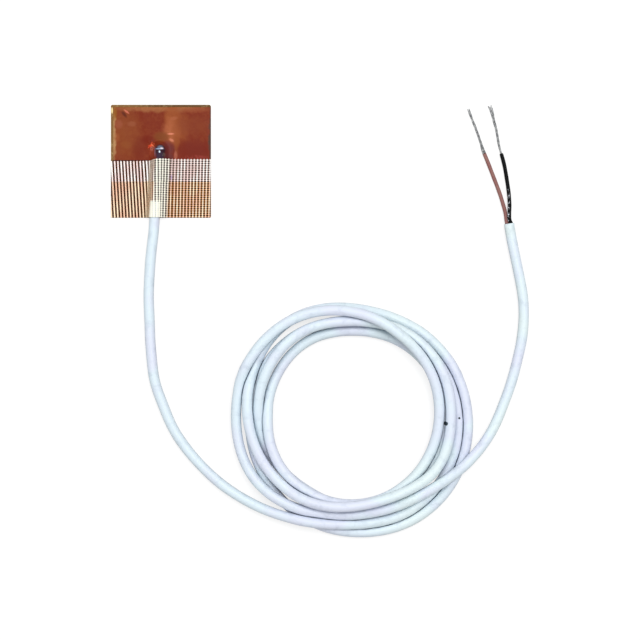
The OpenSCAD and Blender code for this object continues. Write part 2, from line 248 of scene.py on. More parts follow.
def rings(path: Array, across: Array, over: Array, section: Array) -> Array:
    """Places a section at each point of a path: point + a x across + b x over.

    Args:
        path: the path's points.
        across: unit vectors across the path.
        over: unit vectors over the path.
        section: corners (a, b) of one section, or of one section for each point.

    Returns:
        The corners, as rings x corners x 3.
    """
    section = np.broadcast_to(section, (len(path), *section.shape[-2:]))
    return path[:, None] + section[..., :1] * across[:, None] + section[..., 1:] * over[:, None]


def loft(ring_points: Array) -> Surface:
    """Joins rings into a closed skin: quads between neighbouring rings, and one face at each end.

    Args:
        ring_points: rings x corners x 3, each ring counter-clockwise as seen from the start.

    Returns:
        The closed surface.
    """
    count, sides = ring_points.shape[:2]
    number = np.arange(count * sides).reshape(count, sides)
    after = np.roll(number, -1, axis=1)
    quads = np.stack([number[:-1], number[1:], after[1:], after[:-1]], axis=-1).reshape(-1, 4)
    ends = np.stack([number[0], number[-1][::-1]])
    return Surface(ring_points.reshape(-1, 3), [quads, ends])


def circle(sides: int) -> Array:
    """Corners of a circle of radius 1, counter-clockwise."""
    turn = 2 * math.pi * np.arange(sides) / sides
    return np.stack([np.cos(turn), np.sin(turn)], axis=1)


def slab(top: Array, bottom: Array) -> Surface:
    """Closes two grids of points, one over the other, into a thin body.

    Args:
        top: rows x columns x 3, rows along Y and columns along X.
        bottom: as many points under them.

    Returns:
        The closed surface.
    """
    count, across = top.shape[:2]
    number = np.arange(count * across).reshape(count, across)
    corners = [number[:-1, :-1], number[:-1, 1:], number[1:, 1:], number[1:, :-1]]
    upper = np.stack(corners, axis=-1).reshape(-1, 4)
    lower = upper[:, ::-1] + number.size
    rim = np.concatenate([number[0, :-1], number[:-1, -1], number[-1, :0:-1], number[:0:-1, 0]])
    after = np.roll(rim, -1)
    walls = np.stack([rim, rim + number.size, after + number.size, after], axis=1)
    points = np.concatenate([top.reshape(-1, 3), bottom.reshape(-1, 3)])
    return Surface(points, [np.concatenate([upper, lower, walls])])


# Shader recipes


def by_math(operation: str, swapped: bool = False) -> Callable[..., "Signal"]:
    """Makes an operator of Signal that adds one Math node.

    Args:
        operation: the node's operation.
        swapped: True for a reflected operator, whose signal stands on the right.

    Returns:
        The operator.
    """

    def apply(signal: "Signal", other: "Signal | float") -> "Signal":
        """Adds the node."""
        return signal.math(operation, *((other, signal) if swapped else (signal, other)))

    return apply


class Signal:
    """A socket of a shader's tree, on which arithmetic adds Math nodes."""

    def __init__(self, recipe: "Recipe", socket: bpy.types.NodeSocket) -> None:
        """Keeps the socket and the recipe that it belongs to."""
        self.recipe = recipe
        self.socket = socket

    def math(self, operation: str, *values: "Signal | float", clamp: bool = False) -> "Signal":
        """Adds one Math node.

        Args:
            operation: the node's operation.
            values: its inputs, in order.
            clamp: True to keep the result between 0 and 1.

        Returns:
            The node's result.
        """
        settings = {"operation": operation, "use_clamp": clamp}
        return self.recipe.node("ShaderNodeMath", settings, dict(enumerate(values)))

    __add__, __radd__ = by_math("ADD"), by_math("ADD", swapped=True)
    __sub__, __rsub__ = by_math("SUBTRACT"), by_math("SUBTRACT", swapped=True)
    __mul__, __rmul__ = by_math("MULTIPLY"), by_math("MULTIPLY", swapped=True)
    __truediv__, __rtruediv__ = by_math("DIVIDE"), by_math("DIVIDE", swapped=True)

    def absolute(self) -> "Signal":
        """This signal without its sign."""
        return self.math("ABSOLUTE", self)

    def clamped(self) -> "Signal":
        """This signal kept between 0 and 1."""
        return self.math("ADD", self, 0.0, clamp=True)

    def between(self, low: float, high: float) -> "Signal":
        """Rises smoothly from 0 at low to 1 at high, or falls where high is the smaller.

        Args:
            low: where the result is 0.
            high: where it is 1.

        Returns:
            The result.
        """
        span = (low, high, 0.0, 1.0) if low < high else (high, low, 1.0, 0.0)
        settings = {"interpolation_type": "SMOOTHSTEP"}
        return self.recipe.node("ShaderNodeMapRange", settings, dict(enumerate((self, *span))))


class Recipe:
    """The node tree of one material, or of the room's light."""

    def __init__(self, name: str, world: bool = False) -> None:
        """Starts an empty tree.

        Args:
            name: the material's name.
            world: True for the light of the room.
        """
        self.owner = (bpy.data.worlds if world else bpy.data.materials).new(name)
        self.owner.use_nodes = True
        self.tree = self.owner.node_tree
        self.tree.nodes.clear()

    def node(
        self,
        kind: str,
        settings: dict[str, object] | None = None,
        inputs: dict[str | int, object] | None = None,
        output: str | int | None = 0,
    ) -> Signal | None:
        """Adds a node of any type.

        Args:
            kind: the node's type.
            settings: its properties, set first.
            inputs: the values or links of its sockets, by name or number.
            output: the output to hand on, by name or number, or None.

        Returns:
            That output, if any.
        """
        made = self.tree.nodes.new(kind)
        for key, value in (settings or {}).items():
            setattr(made, key, value)
        for key, value in (inputs or {}).items():
            if isinstance(value, Signal):
                self.tree.links.new(value.socket, made.inputs[key])
            else:
                made.inputs[key].default_value = value
        return None if output is None else Signal(self, made.outputs[output])

    @cached_property
    def place(self) -> Signal:
        """Object coordinates in millimetres."""
        where = {0: self.node("ShaderNodeTexCoord", output="Object"), "Scale": 1 / MM}
        return self.node("ShaderNodeVectorMath", {"operation": "SCALE"}, where)

    def mark(self, name: str) -> Signal:
        """The numbers that a surface carries under a name."""
        return self.node("ShaderNodeAttribute", {"attribute_name": name}, output="Fac")

    def axes(self, vector: Signal | None = None) -> tuple[Signal, Signal, Signal]:
        """The three numbers of a vector signal, or of the place."""
        split = self.node("ShaderNodeSeparateXYZ", inputs={0: vector or self.place}).socket.node
        return tuple(Signal(self, socket) for socket in split.outputs)

    def noise(
        self, size: float, detail: float, warp: float = 0, squeeze: tuple[float, ...] | None = None
    ) -> Signal:
        """Cloudy noise between 0 and 1.

        Args:
            size: size of its features, in millimetres.
            detail: number of finer layers.
            warp: how much the noise distorts itself.
            squeeze: how much narrower its features are along each axis, if at all.

        Returns:
            The noise.
        """
        place = self.place
        if squeeze:
            settings = {"operation": "MULTIPLY"}
            place = self.node("ShaderNodeVectorMath", settings, {0: place, 1: squeeze})
        inputs = {"Vector": place, "Scale": 1 / size, "Detail": detail, "Distortion": warp}
        return self.node("ShaderNodeTexNoise", inputs=inputs)

    def mix(self, share: Signal | float, first: object, second: object) -> Signal:
        """Mixes two colours by a share of the second."""
        inputs = {0: share, 6: first, 7: second}
        return self.node("ShaderNodeMix", {"data_type": "RGBA"}, inputs, output=2)

    def layered(self, colour: object, *layers: tuple[Signal, object]) -> Signal:
        """Lays colours over one another.

        Args:
            colour: the lowest.
            layers: for each of the others how much it covers, and the colour.

        Returns:
            The colour on top.
        """
        for share, layer in layers:
            colour = self.mix(share, colour, layer)
        return colour

    def tinted(self, colour: Signal, tint: Colour) -> Signal:
        """A colour multiplied by a tint."""
        settings = {"data_type": "RGBA", "blend_type": "MULTIPLY"}
        return self.node("ShaderNodeMix", settings, {0: 1.0, 6: colour, 7: tint}, output=2)

    def spot(self, x: Signal, y: Signal, centre: Pair, radii: Pair) -> Signal:
        """A soft oval spot: 1 at its centre and 0 from its rim on.

        Args:
            x, y: the place.
            centre: the spot's centre.
            radii: its half axes.

        Returns:
            The spot's mask.
        """
        across = (x - centre[0]) / radii[0]
        along = (y - centre[1]) / radii[1]
        return (across * across + along * along).between(1.0, 0.0)

    def bump(self, height: Signal, depth: float, strength: float) -> Signal:
        """A normal bent by relief between 0 and 1, which stands for a depth in millimetres."""
        inputs = {"Height": height, "Distance": depth * MM, "Strength": strength}
        return self.node("ShaderNodeBump", inputs=inputs, output="Normal")

    def closed(self, shader: Signal) -> Material | bpy.types.World:
        """Leads a shader to the tree's output.

        Args:
            shader: the shader.

        Returns:
            What the tree belongs to.
        """
        world = isinstance(self.owner, bpy.types.World)
        kind = "ShaderNodeOutputWorld" if world else "ShaderNodeOutputMaterial"
        self.node(kind, inputs={"Surface": shader}, output=None)
        return self.owner

    def seen(self) -> Signal:
        """Tells what is looked at from what lights a piece.

        Returns:
            1 to the camera, in reflections and through glass, and 0 elsewhere.
        """
        camera = self.node("ShaderNodeLightPath", output="Is Camera Ray")
        rays = camera.socket.node.outputs
        others = (Signal(self, rays[key]) for key in ("Is Glossy Ray", "Is Transmission Ray"))
        return sum(others, camera).clamped()


# Places that shapes and finishes share


@dataclass(frozen=True)
class Layout:
    """Where things lie on the patch, seen from above.

    Attributes:
        bead: place of the sensing bead.
        lean: angle to Y of the ridge that the bead and the cable raise.
        cloth_y: the cloth's edge beside the bead.
        film_end: where the cover film ends under the cloth.
        jacket_y: where the cable's jacket starts to carry the cloth.
    """

    bead: Pair = (-0.25, 2.9)
    lean: float = 4.1
    cloth_y: float = 0.3
    film_end: float = -5.2
    jacket_y: float = -10.3

    @property
    def slope(self) -> float:
        """How far the ridge moves along X for each millimetre along Y."""
        return math.tan(math.radians(self.lean))

    def aside(self, x: Signal, y: Signal) -> Signal:
        """How far a place lies to the right of the ridge's line, along X."""
        return x + self.slope * (self.bead[1] - y) - self.bead[0]


PATCH = Layout()


# Finishes


@dataclass(frozen=True, kw_only=True)
class Finish:
    """What every finish has.

    Attributes:
        name: the material's name.
        roughness: the least roughness, and what the finish's pattern adds to it.
        relief: depth of the relief, and strength of its bump.
        specular: strength of the highlights.
        metallic: 1 for a metal.
    """

    name: str
    roughness: Pair
    relief: Pair
    specular: float = 0.5
    metallic: float = 0.0

    def shaded(
        self, recipe: Recipe, colour: Signal, pattern: Signal, relief: Signal
    ) -> Material:
        """Feeds the surface shader and closes the tree.

        Args:
            recipe: the material's tree.
            colour: the colour.
            pattern: what makes it rougher, between 0 and 1.
            relief: what bends its normal, between 0 and 1.

        Returns:
            The material.
        """
        inputs = {
            "Base Color": colour,
            "Metallic": self.metallic,
            "Roughness": self.roughness[0] + self.roughness[1] * pattern,
            "Specular IOR Level": self.specular,
            "Normal": recipe.bump(relief, *self.relief),
        }
        return recipe.closed(recipe.node("ShaderNodeBsdfPrincipled", inputs=inputs))


@dataclass(frozen=True, kw_only=True)
class JacketFinish(Finish):
    """Soft, pale, bluish white plastic with faint tints, painted shade in its crevices and on its
    sides, and a few specks of dirt.

    Attributes:
        blue, lavender, green: tints of the plastic; green comes in along X.
        green_x: where it starts to, and where it is full.
        shade: the colour in the shade of a turn and of its own sides.
        crevice_shade, speck: painted shade deep in the crevices, and the colour of the dirt specks.
        specks: place and radius of each speck.
    """

    name: str = "cable_jacket"
    roughness: Pair = (0.4, 0.14)
    relief: Pair = (0.02, 0.5)
    specular: float = 0.45
    blue: Colour = screen(217, 232, 241)
    lavender: Colour = screen(218, 224, 240)
    green: Colour = screen(222, 236, 236)
    green_x: Pair = (20, 80)
    shade: Colour = screen(118, 136, 160)
    crevice_shade: Colour = screen(22, 44, 62)
    speck: Colour = screen(14, 38, 50)
    specks: Rows = ((72.1, -66.4, 0.62), (75.6, -65.1, 0.36))

    def material(self) -> Material:
        """Builds the material.

        Returns:
            The jacket's material.
        """
        recipe = Recipe(self.name)
        x, y, _ = recipe.axes()
        tint = recipe.noise(14, 2, 0.4)
        cloud = recipe.noise(2.2, 4, 0.5)
        patchy = recipe.noise(9, 2, 0.5).between(0.3, 0.62)
        crevice = recipe.mark("crevice")
        up = recipe.node("ShaderNodeNewGeometry", output="Normal")
        spots = (recipe.spot(x, y, (at_x, at_y), (r, r)) for at_x, at_y, r in self.specks)
        colour = recipe.layered(
            self.blue,
            (tint.between(0.45, 0.65), self.lavender),
            (x.between(*self.green_x) * 0.8 * tint.between(0.55, 0.35), self.green),
            (cloud.between(0.5, 0.8) * 0.22, self.shade),
            # Painted shade: the crevices between turns are darkened, and so are the cable's sides
            # that turn away from the top.
            (crevice * (0.35 + 0.35 * patchy), self.shade),
            (crevice.between(0.4, 0.9) * (0.4 + 0.6 * patchy), self.crevice_shade),
            (recipe.axes(up)[2].between(0.42, 0.02) * (0.25 + 0.4 * patchy), self.shade),
            *((spot.between(0.1, 0.5), self.speck) for spot in spots),
        )
        return self.shaded(recipe, colour, cloud, recipe.noise(0.35, 3))


@dataclass(frozen=True, kw_only=True)
class InsulationFinish(Finish):
    """Smooth core insulation with a faint cloudiness, and streaks of pale flecks that are painted
    highlights.

    Attributes:
        body, worn: its two tints.
        glint_streaks: place and half axes of each streak of painted highlight flecks.
        glint_colour: colour of the painted highlight.
    """

    roughness: Pair = (0.45, 0.12)
    relief: Pair = (0.03, 0.6)
    body: Colour
    worn: Colour
    glint_streaks: Rows = ()
    glint_colour: Colour = screen(206, 212, 220)

    def material(self) -> Material:
        """Builds the material.

        Returns:
            The insulation's material.
        """
        recipe = Recipe(self.name)
        x, y, _ = recipe.axes()
        cloud = recipe.noise(2.2, 3, 0.4)
        flecks = recipe.noise(0.45, 2, 0.4).between(0.53, 0.63)
        # Painted highlight: pale flecks along streaks of the core.
        spots = (recipe.spot(x, y, (at_x, at_y), (w, l)) for at_x, at_y, w, l in self.glint_streaks)
        colour = recipe.layered(
            self.body,
            (cloud.between(0.45, 0.75), self.worn),
            *((spot.between(0.0, 0.4) * flecks, self.glint_colour) for spot in spots),
        )
        rub = recipe.noise(0.5, 3, squeeze=(1.0, 0.25, 1.0))
        return self.shaded(recipe, colour, rub, rub)


@dataclass(frozen=True, kw_only=True)
class MetalFinish(Finish):
    """Drawn or soldered metal, dulled in patches.

    Attributes:
        bright, dull: colours of the metal and of its patches.
    """

    relief: Pair = (0.01, 0.5)
    metallic: float = 1.0
    bright: Colour
    dull: Colour

    def material(self) -> Material:
        """Builds the material.

        Returns:
            The metal's material.
        """
        recipe = Recipe(self.name)
        patch = recipe.noise(0.7, 3, 0.3)
        colour = recipe.mix(patch.between(0.35, 0.7), self.bright, self.dull)
        scratch = recipe.noise(0.5, 2, squeeze=(6.0, 0.8, 6.0))
        return self.shaded(recipe, colour, patch, scratch)


@dataclass(frozen=True, kw_only=True)
class CastFinish(Finish):
    """Cast or pressed material with a fine grain: epoxy, ceramic or sleeve.

    Attributes:
        body, shade: its two tints.
        grain: size of the grain.
    """

    relief: Pair = (0.02, 0.4)
    body: Colour
    shade: Colour
    grain: float

    def material(self) -> Material:
        """Builds the material.

        Returns:
            The material.
        """
        recipe = Recipe(self.name)
        grain = recipe.noise(self.grain, 3)
        colour = recipe.mix(grain.between(0.35, 0.7), self.body, self.shade)
        return self.shaded(recipe, colour, grain, grain)


@dataclass(frozen=True)
class Cloud:
    """One soft patch of colour on the film, in millimetres from the middle of the sensor; some are
    tints of the film and some are painted glints and highlights.

    Attributes:
        centre: its centre.
        radii: its half axes.
        levels: its colour, as a screen shows it.
        share: how strongly it covers what lies under it.
        turn: how far its first axis is turned from X.
        crumbs: True to break it up into crumbs.
    """

    centre: Pair
    radii: Pair
    levels: tuple[int, int, int]
    share: float = 0.8
    turn: float = 0.0
    crumbs: bool = False

    def laid(self, recipe: Recipe, x: Signal, y: Signal, grain: Signal, colour: Signal) -> Signal:
        """Lays the patch over a colour.

        Args:
            recipe: the film's recipe.
            x, y: the place.
            grain: noise between 0 and 1 that makes the patch uneven.
            colour: what lies under it.

        Returns:
            The colour with the patch.
        """
        turn = math.radians(self.turn)
        across, along = x - self.centre[0], y - self.centre[1]
        first = across * math.cos(turn) + along * math.sin(turn)
        second = along * math.cos(turn) - across * math.sin(turn)
        spot = recipe.spot(first, second, (0.0, 0.0), self.radii)
        uneven = grain.between(0.42, 0.56) if self.crumbs else 0.65 + 0.7 * grain
        return recipe.mix((spot * uneven * self.share).clamped(), colour, screen(*self.levels))


def laid_rows(*rows: tuple) -> tuple[Cloud, ...]:
    """Clouds from rows of their fields, in the order in which they are laid."""
    return tuple(Cloud(*row) for row in rows)


@dataclass(frozen=True, kw_only=True)
class FilmFinish(Finish):
    """Glossy amber film over a white ground: red-brown, with golden clouds, a dark bead, painted
    glints, painted highlights on the bead's dome and painted shade under the cloth.

    Attributes:
        amber: what the film lets through of the clouds' colours.
        red_brown, mottled: its two tints.
        under_cloth, shaded_under_ridge: painted shade in the gaps of the cloth, with the adhesive's
            darkening, off the ridge and on it.
        ridge_w: how far from the ridge's line the second one is full, and where it ends.
        drift: how far the large clouds are warped.
        small: reach under which a cloud isn't warped.
        clouds: patches of colour in the film, among them painted glints.
        bead: patches of colour of the bead under the film, and painted highlights on the film's
            dome over it.
    """

    name: str = "cover_film"
    roughness: Pair = (0.28, 0.2)
    relief: Pair = (0.04, 0.3)
    specular: float = 0.07
    amber: Colour = (0.8, 0.68, 0.62, 1.0)
    red_brown: Colour = screen(133, 52, 30)
    mottled: Colour = screen(146, 72, 42)
    under_cloth: Colour = screen(26, 8, 8)
    shaded_under_ridge: Colour = screen(24, 20, 18)
    ridge_w: Pair = (1.2, 2.6)
    drift: float = 1.6
    small: float = 3.0
    clouds: tuple[Cloud, ...] = laid_rows(
        ((-10.0, 7.0), (6.4, 9.0), (150, 82, 44), 0.8),
        ((-12.1, 7.5), (0.8, 10.0), (200, 164, 116), 0.9),
        ((-11.9, 12.4), (1.0, 2.6), (158, 108, 44), 0.8),
        ((0.0, 13.6), (15.0, 1.5), (176, 120, 76), 0.8),
        ((8.2, 12.9), (5.0, 0.9), (158, 84, 52), 0.6),
        # An orange zone right of the bead: the film's own tone, with a painted reflection in it.
        ((3.0, 10.8), (2.7, 5.0), (164, 92, 50), 0.95),
        ((2.8, 7.6), (2.9, 3.9), (186, 112, 74), 1.0),
        ((5.0, 8.6), (3.0, 5.0), (158, 86, 46), 0.7),
        ((8.5, 9.0), (5.5, 3.5), (144, 72, 44), 0.6),
        ((0.2, 6.2), (2.6, 1.7), (138, 80, 38), 0.85),
        ((4.0, 4.2), (0.9, 3.4), (160, 90, 46), 0.75),
        ((9.0, 2.6), (6.5, 3.6), (124, 42, 30), 0.8),
        ((-3.6, 5.4), (2.2, 1.4), (122, 36, 18), 0.7),
        ((-5.5, 3.4), (2.6, 3.2), (124, 44, 28), 0.5),
        ((1.8, 3.2), (2.2, 2.3), (118, 58, 60), 0.85),
        ((1.3, 1.0), (2.6, 1.3), (104, 58, 66), 0.7),
        ((-2.1, 2.4), (0.9, 2.3), (178, 88, 68), 0.7),
        ((3.75, 1.4), (0.6, 1.5), (186, 112, 90), 0.75),
        ((-10.7, 9.4), (1.3, 1.5), (166, 96, 70), 0.7),
        ((-7.4, 9.5), (1.5, 0.9), (162, 96, 66), 0.7),
        ((-11.2, 6.1), (1.0, 1.4), (168, 98, 58), 0.6),
        ((-8.7, 4.2), (1.9, 1.2), (152, 88, 46), 0.6),
        ((-9.3, 11.9), (1.3, 0.5), (94, 40, 26), 0.8, -50.0),
        # Painted highlight: a pink glint along a wrinkle at the top left.
        ((-8.7, 12.6), (1.1, 0.3), (226, 134, 112), 0.95, -38.0),
        # Painted highlight: orange glints of the crumpled star left of the bead.
        ((-2.55, 4.05), (1.1, 0.34), (236, 84, 44), 1.2, 24.0, True),
        ((-2.35, 4.2), (0.34, 0.95), (240, 92, 50), 1.2, -18.0, True),
        ((-2.0, 3.95), (0.75, 0.24), (255, 140, 96), 1.4, -40.0),
        ((-3.0, 3.6), (0.6, 0.2), (236, 90, 60), 1.2, 50.0, True),
        ((-1.6, 4.3), (0.4, 0.2), (236, 100, 70), 1.2, 60.0, True),
        ((-2.1, 3.2), (0.75, 0.85), (216, 140, 126), 1.0, 0.0, True),
        # Painted highlights: glints on the two folds right of the bead.
        ((2.5, 6.95), (1.1, 0.32), (232, 150, 122), 1.0),
        ((2.7, 5.35), (0.85, 0.45), (224, 146, 116), 0.95, -30.0),
        ((3.3, 10.9), (1.3, 0.6), (184, 112, 78), 0.6, 10.0),
        ((8.0, 0.95), (5.0, 0.6), (164, 72, 66), 0.6, 0.0, True),
        ((12.75, 6.0), (0.75, 14.0), (84, 66, 58), 0.95),
    )
    bead: tuple[Cloud, ...] = laid_rows(
        ((-0.02, 2.6), (1.62, 1.85), (56, 32, 40), 1.6),
        ((0.0, 1.1), (1.35, 1.5), (58, 40, 58), 1.2),
        # Painted highlight: a light-blue crescent on top of the dome over the bead.
        ((0.05, 3.4), (0.9, 0.55), (104, 112, 128), 0.9),
        ((0.85, 1.5), (0.6, 0.55), (120, 112, 96), 0.7, 0.0, True),
        ((-1.3, 2.2), (0.14, 1.6), (130, 116, 140), 0.8),
        # Painted highlights: a pale arc with a bright right end, and a white dot, on the dome over
        # the bead.
        ((-0.1, 2.95), (1.3, 0.24), (146, 162, 186), 1.3),
        ((0.45, 3.08), (0.5, 0.24), (228, 216, 226), 1.3),
        ((-0.1, 2.22), (0.24, 0.36), (226, 240, 255), 1.6),
    )

    def material(self) -> Material:
        """Builds the material.

        Returns:
            The film's material.
        """
        recipe = Recipe(self.name)
        x, y, _ = recipe.axes()
        slow = {"Vector": recipe.place, "Scale": 0.5}
        drift = recipe.node("ShaderNodeTexNoise", inputs=slow, output="Color")
        drift_x, drift_y, _ = recipe.axes(drift)
        warped = x + self.drift * (drift_x - 0.5), y + self.drift * (drift_y - 0.5)
        mottle = recipe.noise(1.1, 4, 0.8)
        fine = recipe.noise(0.45, 2, 0.8)
        colour = recipe.mix(mottle.between(0.35, 0.75) * 0.7, self.red_brown, self.mottled)
        for cloud in self.clouds:
            small = max(cloud.radii) < self.small
            where, grain = ((x, y), fine) if small else (warped, mottle)
            colour = cloud.laid(recipe, *where, grain, colour)
        colour = recipe.tinted(colour, self.amber)
        for cloud in self.bead:
            colour = cloud.laid(recipe, x, y, fine, colour)
        # Painted shade: the film darkens in the cloth's gaps, and is greyer on the ridge.
        ridge = PATCH.aside(x, y).absolute().between(*self.ridge_w[::-1])
        covered = recipe.mix(ridge, self.under_cloth, self.shaded_under_ridge)
        edge = y.between(PATCH.cloth_y + 0.1, PATCH.cloth_y - 0.2)
        return self.shaded(recipe, recipe.mix(edge, colour, covered), mottle, mottle)


@dataclass(frozen=True, kw_only=True)
class BaseFilmFinish(Finish):
    """The lower film: olive where its edges lie bare, and dark brown with painted shade under the
    cloth's gaps.

    Attributes:
        olive, red_brown: its tints on the left and from the middle on.
        yellow: what mottles them, and the colour of a painted glint at the top-left corner.
        corner: place of that glint.
        under_cloth, stain: its painted shade under the cloth's gaps, with the adhesive's darkening,
            and a lighter mottle of both.
    """

    name: str = "base_film"
    roughness: Pair = (0.35, 0.2)
    relief: Pair = (0.02, 0.3)
    specular: float = 0.03
    olive: Colour = screen(132, 98, 56)
    yellow: Colour = screen(240, 218, 160)
    red_brown: Colour = screen(104, 76, 44)
    under_cloth: Colour = screen(24, 8, 2)
    stain: Colour = screen(60, 24, 8)
    corner: Pair = (-12.4, 12.9)

    def material(self) -> Material:
        """Builds the material.

        Returns:
            The film's material.
        """
        recipe = Recipe(self.name)
        x, y, _ = recipe.axes()
        mottle = recipe.noise(1.2, 3, 0.5)
        # Painted shade: the film darkens in the cloth's gaps, in a mottle.
        covered = recipe.mix(mottle.between(0.45, 0.7), self.under_cloth, self.stain)
        colour = recipe.layered(
            self.olive,
            (x.between(-9.0, 0.0), self.red_brown),
            # Painted highlight: a narrow yellow-white glint at the top-left corner.
            (recipe.spot(x, y, self.corner, (0.26, 1.0)).between(0.0, 0.6), self.yellow),
            (mottle.between(0.5, 0.75) * 0.25, self.yellow),
            (y.between(PATCH.cloth_y, PATCH.cloth_y - 0.3), covered),
        )
        return self.shaded(recipe, colour, mottle, mottle)


@dataclass(frozen=True, kw_only=True)
class AdhesiveFinish(Finish):
    """Tacky, honey-coloured adhesive with small bubbles.

    Attributes:
        honey, pale: its two tints.
    """

    name: str = "adhesive"
    roughness: Pair = (0.25, 0.2)
    relief: Pair = (0.05, 0.5)
    honey: Colour = screen(196, 166, 104)
    pale: Colour = screen(222, 204, 160)

    def material(self) -> Material:
        """Builds the material.

        Returns:
            The adhesive's material.
        """
        recipe = Recipe(self.name)
        cloud = recipe.noise(3.0, 3, 0.5)
        cells = recipe.node("ShaderNodeTexVoronoi", inputs={"Vector": recipe.place, "Scale": 1.6})
        bubble = cells.between(0.28, 0.1)
        colour = recipe.mix((cloud * 0.6 + bubble * 0.4).clamped(), self.honey, self.pale)
        return self.shaded(recipe, colour, cloud, bubble)


@dataclass(frozen=True, kw_only=True)
class YarnFinish(Finish):
    """Glass yarn: white where it lies dry, cream and salmon where the adhesive has wetted it.

    The yarns across lie deep between the others, and their colours carry painted shade, darker
    still on the left.

    Attributes:
        white, pink: tints of the dry yarns.
        cream, salmon, fringe: tints of the wet ones, and the colour of their edges.
        lilac, lilac_at: a stain, and its place.
        flank_shade: painted shade on the ridge's left flank.
        pale_green: the colour on its crown and over the jacket.
        hollow_shade_dry, hollow_shade_wet: painted shade on the yarns' edges between two crossings,
            dry and wet.
        sunk_dry, sunk_wet, sunk_crown, sunk_left: colours of the yarns across, with painted shade
        as they lie deep.
    """

    name: str = "glass_yarn"
    roughness: Pair = (0.5, 0.2)
    relief: Pair = (0.02, 0.5)
    specular: float = 0.12
    white: Colour = screen(255, 252, 248)
    pink: Colour = screen(246, 222, 218)
    cream: Colour = screen(253, 233, 201)
    salmon: Colour = screen(246, 200, 172)
    fringe: Colour = screen(206, 150, 108)
    lilac: Colour = screen(196, 170, 214)
    lilac_at: Pair = (2.3, -4.1)
    flank_shade: Colour = screen(206, 188, 160)
    pale_green: Colour = screen(254, 253, 238)
    hollow_shade_dry: Colour = screen(96, 66, 60)
    hollow_shade_wet: Colour = screen(84, 40, 14)
    sunk_dry: Colour = screen(192, 160, 148)
    sunk_wet: Colour = screen(180, 120, 66)
    sunk_crown: Colour = screen(194, 188, 176)
    sunk_left: Colour = screen(100, 56, 30)

    def material(self) -> Material:
        """Builds the material.

        Returns:
            The yarn's material.
        """
        recipe = Recipe(self.name)
        x, y, _ = recipe.axes()
        edge, weft, tie = (recipe.mark(name) for name in ("edge", "weft", "tie"))
        aside = PATCH.aside(x, y)
        crown = aside.between(-1.0, -0.4) * aside.between(3.4, 2.4)
        flank = aside.between(-2.5, -2.1) * aside.between(-0.75, -1.05)
        jacket = y.between(PATCH.jacket_y + 0.4, PATCH.jacket_y)
        jacket = aside.absolute().between(1.5, 1.1) * jacket
        cloud = recipe.noise(2.4, 3, squeeze=(1.0, 0.4, 1.0))
        wet = (y + 0.5 * (cloud - 0.5)).between(PATCH.film_end + 0.2, PATCH.film_end - 0.2)
        dry = recipe.mix(cloud.between(0.42, 0.62), self.white, self.pink)
        soaked = recipe.layered(
            self.cream,
            (cloud.between(0.4, 0.62), self.salmon),
            (edge.between(0.55, 1.0) * 0.7, self.fringe),
        )
        hollow_shade = recipe.mix(wet, self.hollow_shade_dry, self.hollow_shade_wet)
        bitten = aside.between(-2.6, -2.2) * (0.6 + 0.4 * aside.between(2.4, 3.4))
        speckle = recipe.noise(0.28, 2, 0.6).between(0.4, 0.6)
        # Painted shade: the yarns across are darker than the others, as they lie deep, and darker
        # still left of the ridge.
        sunk = recipe.layered(
            self.sunk_dry,
            (wet, self.sunk_wet),
            (crown, self.sunk_crown),
            (aside.between(-1.6, -3.0), self.sunk_left),
        )
        colour = recipe.layered(
            dry,
            (wet, soaked),
            (recipe.spot(x, y, self.lilac_at, (0.8, 1.1)), self.lilac),
            # Painted shade: the yarns' edges darken between two crossings.
            (bitten * edge.between(0.2, 0.9) * (1 - tie), hollow_shade),
            # Painted shade on the ridge's left flank, broken up by a speckle.
            (flank * (0.4 + 0.6 * speckle), self.flank_shade),
            (crown * (0.8 + 0.2 * cloud), self.pale_green),
            (jacket, self.pale_green),
            (weft * (1 - jacket), sunk),
        )
        fibre = recipe.noise(0.5, 2, squeeze=(8.0, 0.6, 8.0))
        return self.shaded(recipe, colour, fibre, fibre)


class Coat(Enum):
    """The sensor's finishes."""

    JACKET = JacketFinish()
    RED = InsulationFinish(
        name="red_insulation", body=screen(134, 88, 84), worn=screen(150, 114, 104), specular=0.3
    )
    BLACK = InsulationFinish(
        name="black_insulation", body=screen(3, 4, 5), worn=screen(9, 11, 14), specular=0.08,
        glint_streaks=((88.15, -9.5, 0.3, 3.4), (88.0, -14.2, 0.3, 1.6)),
    )
    COPPER = MetalFinish(
        name="tinned_copper", bright=screen(158, 160, 160), dull=screen(112, 113, 116),
        roughness=(0.45, 0.2),
    )
    LEAD = MetalFinish(
        name="lead_wire", bright=screen(205, 206, 208), dull=screen(150, 150, 154),
        roughness=(0.22, 0.2),
    )
    SOLDER = MetalFinish(
        name="solder", bright=screen(188, 190, 194), dull=screen(150, 150, 154),
        roughness=(0.3, 0.2),
    )
    COVER = FilmFinish()
    BASE = BaseFilmFinish()
    ADHESIVE = AdhesiveFinish()
    YARN = YarnFinish()
    EPOXY = CastFinish(
        name="bead_epoxy", body=screen(34, 28, 36), shade=screen(52, 42, 50), grain=0.6,
        roughness=(0.25, 0.15),
    )
    CERAMIC = CastFinish(
        name="chip_ceramic", body=screen(78, 78, 84), shade=screen(104, 102, 106), grain=0.2,
        roughness=(0.5, 0.15),
    )
    SLEEVE = CastFinish(
        name="splice_sleeve", body=screen(226, 222, 208), shade=screen(206, 202, 190), grain=0.8,
        roughness=(0.3, 0.15),
    )


Coats = dict[Coat, Material]


# The studio


@dataclass
class Lamp:
    """One square soft lamp.

    Attributes:
        name: its name.
        lean: how far it leans from straight overhead towards +X and +Y.
        side: its width, in metres.
        power: its power, in watts.
    """

    name: str
    lean: Pair
    side: float
    power: float


